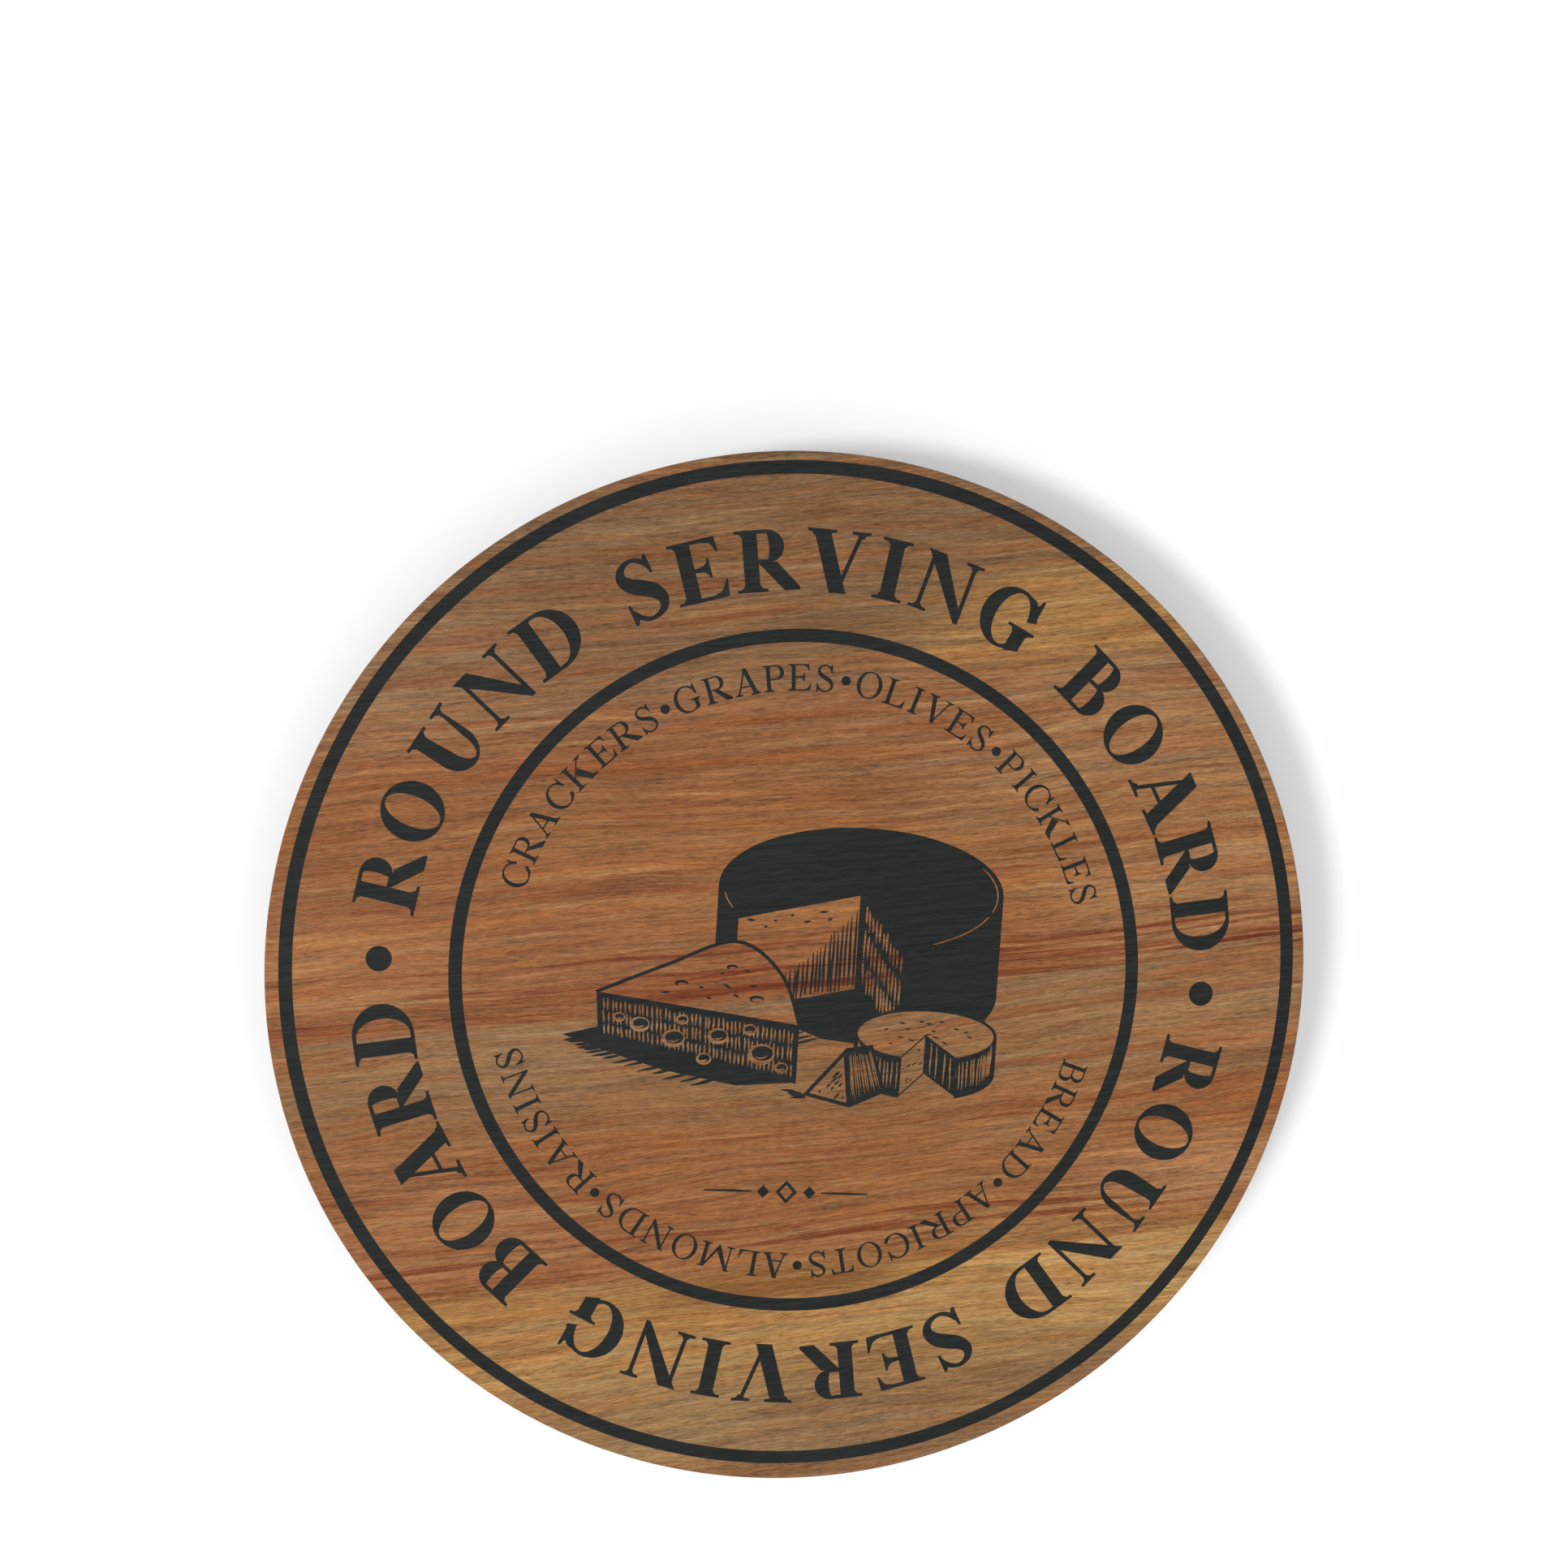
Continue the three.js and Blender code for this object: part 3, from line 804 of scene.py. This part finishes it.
def alphabet(stem, hair):
    """Roman capitals of height 1, as {letter: (width, strokes)}. stem is the width of a thick
    stroke and hair of a thin one. Strokes are (is ink, outline), each laid over the last."""
    slab, reach, bracket = 0.6 * hair + 0.008, 0.125, 0.07
    both, left_only = (reach, reach), (reach, 0)

    def slant(x0, x1, width, low=0.0, high=1.0):
        half = width / 2
        return solid([(x0 - half, low), (x0 + half, low), (x1 + half, high), (x1 - half, high)])

    def serif(x, width, y=0.0, left=reach, right=reach):
        up = 1 if y < 0.5 else -1
        a, b = x - width / 2, x + width / 2
        outline = [(a - left, y), (b + right, y), (b + right, y + up * slab)]
        if right:
            outline += [(b + right * 0.35, y + up * (slab + 0.012)), (b, y + up * (slab + bracket))]
        if left:
            outline += [(a, y + up * (slab + bracket)), (a - left * 0.35, y + up * (slab + 0.012))]
        return solid(outline + [(a - left, y + up * slab)])

    def upright(x, width, low=both, high=both):
        feet = serif(x, width, 0.0, *low) if low else []
        heads = serif(x, width, 1.0, *high) if high else []
        return slant(x, x, width) + feet + heads

    def arm(x0, x1, y, down=0.0, up=0.0, lean=0.0):
        """A thin bar with a spur at its right end. lean carries the spur's tip outwards."""
        half = hair / 2
        parts = solid([(x0, y - half), (x1, y - half), (x1, y + half), (x0, y + half)])
        for size, way in ((down, -1), (up, 1)):
            if size:
                tip = (x1 + lean, y + way * (half + size))
                inner = [(x1 - 0.03 + lean, tip[1]), (x1 - 0.06, y + way * (half + 0.45 * size))]
                inner += [(x1 - 0.11, y + way * (half + 0.16 * size)), (x1 - 0.24, y + way * half)]
                parts += solid([(x1, y - way * half), tip, *inner, (x1 - 0.24, y - way * half)])
        return parts

    def bowl(x, right, low, high, thick=stem):
        """A round lobe that closes on an upright at x."""
        middle, half = (low + high) / 2, (high - low) / 2
        turn = min(right - x - 0.06, half * 1.05)
        outer = oval(right - turn, middle, turn, half, -90, 180, 20)
        inside = oval(right - turn, middle, turn - thick, half - hair, -90, 180, 20)
        return solid([(x, low), *outer, (x, high)]) + [(False, [(x, low + hair), *inside, (x, high - hair)])]

    def open_round(width, low, high):
        """The open round of C and G, thick on the left, cut off between two heights."""
        outer = oval(width / 2, 0.5, width / 2, 0.518, 0, 360, 40)
        middle = width / 2 + 0.06 * stem + 0.02
        inside = oval(middle, 0.5, middle - stem, 0.518 - hair, 0, 360, 40)
        opening = [(width * 0.60, 0.5), (width * 1.1, low), (width * 1.1, high)]
        thick = stem * 0.34
        lip = [(0.64, 0.955, hair), (0.74, 0.915, thick), (0.83, 0.80, thick), (0.868, 0.70, hair)]
        spur = [(0.86, 1.02), (0.895, 1.02), (0.905, 0.67), (0.865, 0.67), (0.80, 0.86)]
        return [(True, outer), (False, inside), (False, opening), *solid(brush(lip, 4), spur)]

    x = 0.10 + stem / 2
    letters = {"•": (0.5, solid(oval(0.25, 0.5, 0.18, 0.18, 0, 345, 23)))}
    # A and V: a thin and a thick slant
    legs = slant(0.13, 0.475, hair * 1.15) + slant(0.80, 0.465, stem * 1.12, 0.0, 1.02)
    feet = serif(0.13, hair, 0.0, reach * 0.95, reach * 1.1) + serif(0.80, stem, 0.0, reach, reach * 0.85)
    bar = solid([(0.24, 0.30), (0.68, 0.30), (0.68, 0.30 + hair), (0.24, 0.30 + hair)])
    letters["A"] = (1.0, legs + bar + feet)
    legs = slant(0.535, 0.20, stem * 1.12, -0.02, 1.0) + slant(0.525, 0.87, hair * 1.15, 0.02, 1.0)
    feet = serif(0.20, stem, 1.0, reach * 0.85, reach) + serif(0.87, hair, 1.0, reach * 1.1, reach * 0.9)
    letters["V"] = (1.0, legs + feet)
    # letters with a round lobe on an upright
    plain = upright(x, stem, left_only, left_only)
    footed = upright(x, stem, both, left_only)
    letters["B"] = (0.84, bowl(x, 0.74, 0.49, 1.0, stem * 0.92) + bowl(x, 0.82, 0.0, 0.49 + hair) + plain)
    letters["D"] = (0.99, bowl(x, 0.96, 0.0, 1.0) + plain)
    letters["P"] = (0.80, bowl(x, 0.78, 0.44, 1.0) + footed)
    leg = solid([(0.34, 0.47), (0.34 + stem * 1.25, 0.47), (0.99, slab), (0.99, 0.0), (0.74, 0.0)])
    letters["R"] = (0.97, bowl(x, 0.78, 0.46, 1.0) + leg + footed)
    # round letters
    chin = [(0.60, 0.022, hair), (0.72, 0.055, hair * 1.25)]
    chin += [(0.85, 0.14, hair * 1.1), (0.925, 0.25, hair * 0.5)]
    letters["C"] = (0.96, open_round(0.95, 0.12, 0.68) + solid(brush(chin, 4)))
    post = 0.885 - stem / 2
    left = post - stem / 2
    chin = solid([(left, 0.44), (left, 0.05), (0.66, -0.005), (0.885, 0.09), (0.885, 0.44)])
    slab_on_post = shifted(serif(post, stem, 1.0, reach, reach * 0.9), 0, -0.545)
    letters["G"] = (1.05, open_round(0.95, 0.05, 0.68) + chin + slab_on_post)
    inside = oval(0.51, 0.5, 0.49 - stem, 0.518 - hair * 0.8, 0, 360, 40)
    letters["O"] = (1.02, solid(oval(0.51, 0.5, 0.49, 0.518, 0, 360, 40)) + [(False, inside)])
    # letters with thin arms
    arms = arm(x, 0.76, 1 - hair / 2, down=0.19, lean=0.015) + arm(x, 0.60, 0.51, down=0.13, up=0.13)
    letters["E"] = (0.87, plain + arms + arm(x, 0.80, hair / 2, up=0.22, lean=0.035))
    foot = arm(x, 0.78, hair / 2, up=0.27, lean=0.03)
    letters["L"] = (0.84, upright(x, stem, left_only, both) + foot)
    bar = arm(0.0, 0.42, 1 - hair / 2, down=0.21, lean=0.02)
    bar += [(inked, [(-x, y) for x, y in outline]) for inked, outline in bar]
    letters["T"] = (0.92, upright(0.46, stem, both, None) + shifted(bar, 0.46))
    letters["I"] = (0.36 + stem * 0.5, upright(0.18 + stem / 4, stem))
    cup = oval(0.56, 0.40, 0.36, 0.418, 180, 180, 20)
    hollow = oval(0.575 + stem * 0.25, 0.40, 0.345 - stem * 0.75, 0.418 - hair * 1.1, 180, 180, 20)
    bottom = solid([(0.20, 0.8), *cup, (0.92, 0.8)])
    bottom += [(False, [(0.20 + stem, 0.8), *hollow, (0.92 - hair, 0.8)])]
    for middle, width in ((0.20 + stem / 2, stem), (0.92 - hair / 2, hair)):
        bottom += slant(middle, middle, width, 0.38) + serif(middle, width, 1.0)
    letters["U"] = (1.06, bottom)
    # letters with slanting strokes between uprights
    sides = slant(0.17, 0.17, hair * 1.1) + slant(0.87, 0.87, hair * 1.1, -0.02)
    bar = [(0.04, 1.0), (0.04 + stem * 1.25, 1.0), (0.87 + hair / 2, 0.13)]
    bar += [(0.87 + hair / 2, -0.02), (0.83, -0.02), (0.15, 0.86)]
    letters["N"] = (1.04, sides + solid(bar) + serif(0.17, hair) + serif(0.87, hair, 1.0))
    sides = slant(0.18, 0.18, hair * 1.1) + upright(1.30 - x, stem, high=(0, reach))
    first = [(0.04, 1.0), (0.06 + stem * 1.15, 1.0), (0.70, 0.25), (0.61, 0.0), (0.17, 0.88)]
    second = [(0.61, 0.0), (0.655, 0.0), (1.30 - x + 0.02, 1.0), (1.25 - x, 1.0), (0.60, 0.12)]
    letters["M"] = (1.30, sides + solid(first, second) + serif(0.18, hair))
    first = [(x, 0.42), (x, 0.36), (0.86, 0.97), (0.79, 0.97)]
    second = [(0.44, 0.585), (0.35, 0.50), (0.70, 0.0), (0.72 + stem * 1.35, 0.0), (0.57, 0.69)]
    feet = serif(0.84, hair, 1.0, reach * 1.1, reach)
    feet += serif(0.76 + stem * 0.5, stem * 1.2, 0.0, reach * 0.4, reach * 0.9)
    letters["K"] = (1.08, upright(x, stem) + solid(first, second) + feet)
    belly = [(0.57, 0.80, hair * 0.8), (0.48, 0.93, hair * 1.3), (0.31, 0.99, hair * 1.1)]
    belly += [(0.145, 0.91, stem * 0.45), (0.095, 0.76, stem * 0.72), (0.19, 0.62, stem * 0.95)]
    belly += [(0.36, 0.52, stem * 1.05), (0.53, 0.41, stem * 0.98), (0.62, 0.25, stem * 0.74)]
    belly += [(0.56, 0.09, stem * 0.46), (0.37, 0.01, hair * 1.1), (0.20, 0.06, hair * 1.3)]
    belly += [(0.09, 0.21, hair * 0.8)]
    first = [(0.555, 1.02), (0.60, 1.02), (0.615, 0.70), (0.575, 0.70), (0.53, 0.84), (0.47, 0.93)]
    second = [(0.05, -0.02), (0.095, -0.02), (0.13, 0.045), (0.19, 0.07), (0.11, 0.17), (0.075, 0.32)]
    letters["S"] = (0.74, solid(brush(belly), first + [(0.52, 0.95)], second + [(0.035, 0.32)]))
    return letters


def set_round(text, letters, cap, radius, first, last):
    """Sets words clockwise round the print between two angles, and spaces them out to fill it."""
    widths = [cap * (WORD_SPACE if c == " " else letters[c][0]) for c in text]
    space = (math.radians(first - last) * radius - sum(widths)) / (len(text) - 1)
    strokes, run = [], 0.0
    for character, width in zip(text, widths):
        turn = math.radians(first - 90) - (run + width / 2) / radius
        run += width + space
        for inked, outline in [] if character == " " else letters[character][1]:
            spots = [(x * cap - width / 2, radius + (y - 0.5) * cap) for x, y in outline]
            cos, sin = math.cos(turn), math.sin(turn)
            strokes.append((inked, [(x * cos - y * sin, x * sin + y * cos) for x, y in spots]))
    return strokes


bold = alphabet(0.245, 0.062)
book = alphabet(0.15, 0.055)
outer_words = []
for half_turn in (0, 180):
    outer_words += set_round(OUTER_WORDS, bold, OUTER_CAP, DOT_CIRCLE, 173 + half_turn, 6 + half_turn)
printed("outer_lettering", outer_words)
inner_words = set_round("CRACKERS•GRAPES•OLIVES•PICKLES", book, INNER_CAP, INNER_CIRCLE, 165, 17)
inner_words += set_round("BREAD•APRICOTS•ALMONDS•RAISINS", book, INNER_CAP, INNER_CIRCLE, 345, 196.5)
printed("inner_lettering", inner_words)

# ---------------------------------------------------------------------------------------------
# Print, picture: pieces of cheese in pen and ink, and a plain ornament under them. Washes of
# solid ink are opened up with bare strokes, as a woodcut is.

ORNAMENT_HEIGHT = -85.0

random_pen = random.Random(7)


def along(edge, share):
    """The point a share of the way along an edge of evenly spaced points."""
    run = share * (len(edge) - 1)
    i = min(int(run), len(edge) - 2)
    (x0, y0), (x1, y1) = edge[i], edge[i + 1]
    return x0 + (x1 - x0) * (run - i), y0 + (y1 - y0) * (run - i)


def line(*points, width=1.0, ink=True):
    """A pen line through points, thinning a little to its ends."""
    widths = [0.55 * width, *[width] * (len(points) - 2), 0.55 * width]
    return (ink, brush([(x, y, thick) for (x, y), thick in zip(points, widths)], 5))


def hatch(start, end, count, width, ink=True, first=0.0, reach=1.0, ragged=0.08):
    """Pen strokes from one edge to another, evenly spaced, each of its own length and wobble."""
    made = []
    for i in range(count):
        share = (i + 0.5 + random_pen.uniform(-0.18, 0.18)) / count
        (x0, y0), (x1, y1) = along(start, share), along(end, share)
        low = first + random_pen.uniform(0, ragged)
        high = reach - random_pen.uniform(0, ragged)
        points = []
        for step, thick in ((0.0, 0.45), (0.35, 1.0), (0.7, 0.85), (1.0, 0.25)):
            t = low + (high - low) * step
            sway = random_pen.uniform(-0.2, 0.2) * width
            thick *= width * random_pen.uniform(0.8, 1.15)
            points.append((x0 + (x1 - x0) * t + sway, y0 + (y1 - y0) * t, thick))
        made.append((ink, brush(points, 3)))
    return made


def flecks(area, count, size, ink=True, slope=0.0, longer=2.2):
    """Short marks scattered over a four-cornered area."""
    (ax, ay), (bx, by), (cx, cy), (dx, dy) = area
    made = []
    for i in range(count):
        u = (i + random_pen.uniform(0.2, 0.8)) / count
        v = (i * 0.618 + random_pen.uniform(0.0, 0.25)) % 1.0
        x = (1 - u) * ((1 - v) * ax + v * dx) + u * ((1 - v) * bx + v * cx)
        y = (1 - u) * ((1 - v) * ay + v * dy) + u * ((1 - v) * by + v * cy)
        long = size * random_pen.uniform(0.6, longer)
        turn = slope + random_pen.uniform(-0.35, 0.35)
        ex, ey = long * math.cos(turn), long * math.sin(turn)
        points = [(x - ex, y - ey, size * 0.3), (x, y, size), (x + ex, y + ey, size * 0.35)]
        made.append((ink, brush(points, 3)))
    return made


def down(points, depth):
    """The same edge, lower by the depth of a side."""
    return [(x, y - depth) for x, y in points]


def cheese_drawing():
    """A cut wheel, a wedge with holes, a small round and a veined piece, as pen strokes and
    washes in the print's frame, furthest first."""
    strokes = []

    def wash(*outlines):
        strokes.extend(solid(*outlines))

    def bare(*outlines):
        strokes.extend((False, outline) for outline in outlines)

    def side(edge, depth):
        """The upright face under an edge."""
        return edge + down(edge, depth)[::-1]

    # The wheel: dark waxed rind, a pale cut face on the left and a shaded one on the right.
    x, y, wide, tall, deep = 22.0, 34.0, 55.0, 24.5, 39.0
    left, right = 207.0, 290.0
    left_rim, right_rim = (oval(x, y, wide, tall, turn, 0, 1)[0] for turn in (left, right))
    wall = oval(x, y, wide, tall, right, 360 - right, 24)
    wash(down(wall, -1) + down(wall, deep)[::-1], side(oval(x, y, wide, tall, 180, left - 180, 8), deep))
    wash([(x, y), *oval(x, y, wide, tall, right, 360 - right + left, 60)])
    wash(side([left_rim, (x, y)], deep), side([(x, y), right_rim], deep))
    # bare flesh inside a rind line on the near face
    inset, edge = left_rim[0] + 2.2, x - 0.6
    flesh = [(inset, left_rim[1] - 1.4), (edge, y - 1.6), (edge, y - deep + 1.2)]
    bare(flesh + [(inset, left_rim[1] - deep + 1.6)])
    slope = math.atan2(y - left_rim[1], x - left_rim[0])
    strokes += flecks([(-22, 21), (14, 27), (14, 22), (-22, 16)], 7, 0.9, slope=slope)
    # its shaded corner, drawn with strokes that shorten towards the light
    low = down([(-16.0, 26.1), (21.2, 33.4)], deep - 1)
    strokes += hatch(low, [(-16.0, -6.0), (3.0, 8.0), (21.2, 29.0)], 23, 1.05, ragged=0.10)
    # the far cut face, dark with bare grain
    grain_top = [(x + 1.6, y - 3.6), (right_rim[0] - 1.3, right_rim[1] - 0.8)]
    grain_low = down([(x + 1.6, y - 1.6), (right_rim[0] - 1.3, right_rim[1] + 0.6)], deep - 3)
    for first, reach in ((0.0, 0.30), (0.30, 0.66), (0.64, 1.0)):
        strokes += hatch(grain_top, grain_low, 11, 0.85, False, first, reach, 0.07)
    # a bare glint round the rim of the rind
    for start, sweep in ((-57, 38), (-15, 44), (186, 16)):
        strokes.append(line(*oval(x, y, wide - 2.2, tall - 1.5, start, sweep, 8), width=0.55, ink=False))
    # shade on the table inside the cut
    foot = (right_rim[0], right_rim[1] - deep)
    wash([(x, y - deep), foot, (30, -26), (10, -24), (-6, -18), (-4, -9)])
    strokes += hatch([(-4, -9), (-6, -18), (10, -24)], [(-14, -11), (-18, -20), (0, -27)], 12, 1.0)

    # The wedge: its top is pale, its near side shaded and full of holes.
    tip, back, near, height = (-77.0, -9.0), (-25.0, 12.5), (1.0, -19.0), 23.0
    rim = [tip, (-52.0, 2.0), back, (-7.0, 0.5), near]
    wash([(-89.0, -26.0), (-74, -22.0), (1.0, -41.5), (-22, -43.5), (-50, -38.5), (-72, -32)])
    outer = [(-90, -27.5), (-76, -35.0), (-38, -45.5)]
    strokes += hatch([(-84, -27), (-66, -33.0), (-26, -42)], outer, 15, 1.1, ragged=0.2)
    bare(curve(rim, 8))
    wash(brush([(*p, 1.3) for p in rim], 8))
    wash([tip, near, (near[0], near[1] - height), (tip[0] + 1.5, tip[1] - height * 0.78)])
    strokes += flecks([(-58, -8), (-24, 7), (-10, -4), (-34, -12)], 8, 0.95, slope=-0.15)
    high = [(tip[0] + 1.8, tip[1] - 1.4), (near[0] - 1.4, near[1] - 1.6)]
    low = [(tip[0] + 3.0, tip[1] - height * 0.78 + 1.2), (near[0] - 1.4, near[1] - height + 1.4)]
    for first, reach in ((0.03, 0.36), (0.34, 0.68), (0.66, 0.97)):
        strokes += hatch(high, low, 44, 0.8, False, first, reach, 0.06)
    holes = [(-60, -21, 3.2), (-47, -26, 3.9), (-30, -24.5, 3.4), (-35, -33.5, 2.4), (-13, -31, 4.6)]
    holes += [(-18, -21.5, 2.2), (-68, -18.5, 1.8), (-44, -18.6, 1.9), (-5, -36.0, 2.2)]
    for x, y, size in holes:
        bare(oval(x, y, size + 0.6, size * 0.78 + 0.5, 0, 360, 18))
        wash(oval(x + size * 0.1, y + size * 0.1, size * 0.9, size * 0.62, 0, 360, 18))
        glint = [(x - size * 0.5, y - size * 0.22, 0.2), (x, y - size * 0.34, 0.7)]
        bare(brush([*glint, (x + size * 0.55, y - size * 0.1, 0.2)], 3))
    for x, y, size in ((-45, -4.5, 2.6), (-26, 2.5, 2.2), (-16, -9.5, 2.8)):
        wash(oval(x, y, size, size * 0.5, 0, 360, 16))
        bare(oval(x + 0.4, y - 0.5, size * 0.78, size * 0.3, 0, 360, 16))

    # The small round with a bloomy rind, one slice taken out.
    x, y, wide, tall, deep = 50.5, -21.0, 27.0, 9.8, 15.0
    first, last = 250.0, 298.0
    far, hither = (oval(x, y, wide + 0.9, tall + 0.9, turn, 180, 24) for turn in (0, 180))
    wash(far + down(hither, deep))
    bare(oval(x, y, wide - 0.3, tall - 0.3, 0, 360, 44))
    high, low = (oval(x, y + lift, wide - 0.8, tall, 184, 172, 24) for lift in (-1.6, 1.4))
    strokes += hatch(high, down(low, deep), 40, 0.7, ink=False, ragged=0.12)
    strokes += flecks([(32, -20), (68, -20), (64, -15), (38, -15)], 9, 0.7, slope=0.1)
    strokes += flecks([(34, -25), (66, -24), (70, -20), (30, -21)], 7, 0.6, slope=-0.1)
    notch = oval(x, y, wide, tall, first, last - first, 8)
    a, b = (oval(x, y, wide, tall, turn, 0, 1)[0] for turn in (first, last))
    bare([(x, y), *notch], side(notch, deep + 2.4), side([(x, y), a], deep))
    area = [(a[0] + 1, a[1] - 3), (x - 1, y - 3), (x - 1, y - deep + 2), (a[0] + 1, a[1] - deep + 2)]
    strokes += flecks(area, 7, 0.5, slope=0.8)
    wash(side([(x, y), b], deep))
    high = [(x + 0.8, y - 1.0), (b[0] - 0.7, b[1] - 0.6)]
    low = [(x + 0.8, y - deep + 0.6), (b[0] - 0.7, b[1] - deep + 0.8)]
    strokes += hatch(high, low, 4, 0.7, ink=False)
    corner, under = (x, y - deep), (a[0], a[1] - deep)
    for start, end, width in ((a, (x, y), 0.9), ((x, y), corner, 0.8), (a, under, 0.9), (under, corner, 0.9)):
        strokes.append(line(start, end, width=width))

    # A veined piece in front.
    wash([(4.0, -46.2), (22.4, -50.6), (36.0, -44.0), (30.0, -25.5), (19.8, -27.2)])
    bare([(6.4, -45.4), (21.2, -48.8), (19.0, -30.5)])
    strokes += flecks([(10, -45), (20, -47), (18.6, -34), (16, -38)], 12, 0.8, slope=0.9)
    high, low = [(20.6, -29.2), (29.4, -27.2)], [(23.0, -48.4), (34.6, -43.2)]
    strokes += hatch(high, low, 12, 0.65, ink=False, ragged=0.15)
    strokes += hatch([(3, -44.5), (6, -47.5)], [(-6, -44.0), (-1, -47.8)], 5, 0.9, ragged=0.3)
    return strokes


def ornament():
    """A plain run of diamonds between tapered lines, under the picture."""
    strokes = solid([(-4.2, 0), (0, -4.6), (4.2, 0), (0, 4.6)])
    strokes.append((False, [(-2.6, 0), (0, -2.9), (2.6, 0), (0, 2.9)]))
    for side in (-1, 1):
        strokes += solid([(side * (9 + a), b) for a, b in ((-2.4, 0), (0, -2.6), (2.4, 0), (0, 2.6))])
        strokes.append(line((side * 13.5, 0), (side * 20, 0), (side * 32, 0), width=0.9))
    return strokes


printed("cheese_picture", cheese_drawing())
printed("print_ornament", shifted(ornament(), 0, ORNAMENT_HEIGHT))

# ---------------------------------------------------------------------------------------------
# Table and light: a plain pale surface under a large lamp up to the left, with even light from
# all round. The camera stands almost straight above the board, a little towards the far side.

floor_material, _, floor_shader = new_material("pale_table", Roughness=0.9, IOR=1.4)
floor_shader.inputs["Base Color"].default_value = from_hex("f2f4f6")
bpy.ops.mesh.primitive_plane_add(size=8, location=(0, 0, 0))
floor = bpy.context.object
floor.name = "table"
floor.data.materials.append(floor_material)

lamp_data = bpy.data.lights.new("lamp", "AREA")
lamp_data.shape = "DISK"
lamp_data.size = 1.15
lamp_data.energy = 149.0
lamp = bpy.data.objects.new("lamp", lamp_data)
lamp.location = (-3.45, -0.52, 4.58)
lamp.rotation_euler = (Vector((0, 0, 0.04)) - lamp.location).to_track_quat("-Z", "Y").to_euler()
bpy.context.scene.collection.objects.link(lamp)

world = bpy.data.worlds.new("even_light")
world.use_nodes = True
world.node_tree.nodes["Background"].inputs["Color"].default_value = (1.0, 1.0, 1.0, 1.0)
world.node_tree.nodes["Background"].inputs["Strength"].default_value = 0.9
bpy.context.scene.world = world
bpy.context.scene.view_settings.view_transform = "Standard"

camera_data = bpy.data.cameras.new("camera")
camera_data.sensor_width = 36.0
camera_data.lens = 34.06
camera = bpy.data.objects.new("camera", camera_data)
eye = Vector((-0.0416, 0.1294, top_high.z + 0.5573))
aim = Vector((0.0003, 0.0759, top_high.z))
back = (eye - aim).normalized()
up = Vector((0.080, 0.997, 0.0))
right = up.cross(back).normalized()
axes = Matrix((right, back.cross(right), back)).transposed().to_4x4()
camera.matrix_world = Matrix.Translation(eye) @ axes
bpy.context.scene.collection.objects.link(camera)
bpy.context.scene.camera = camera
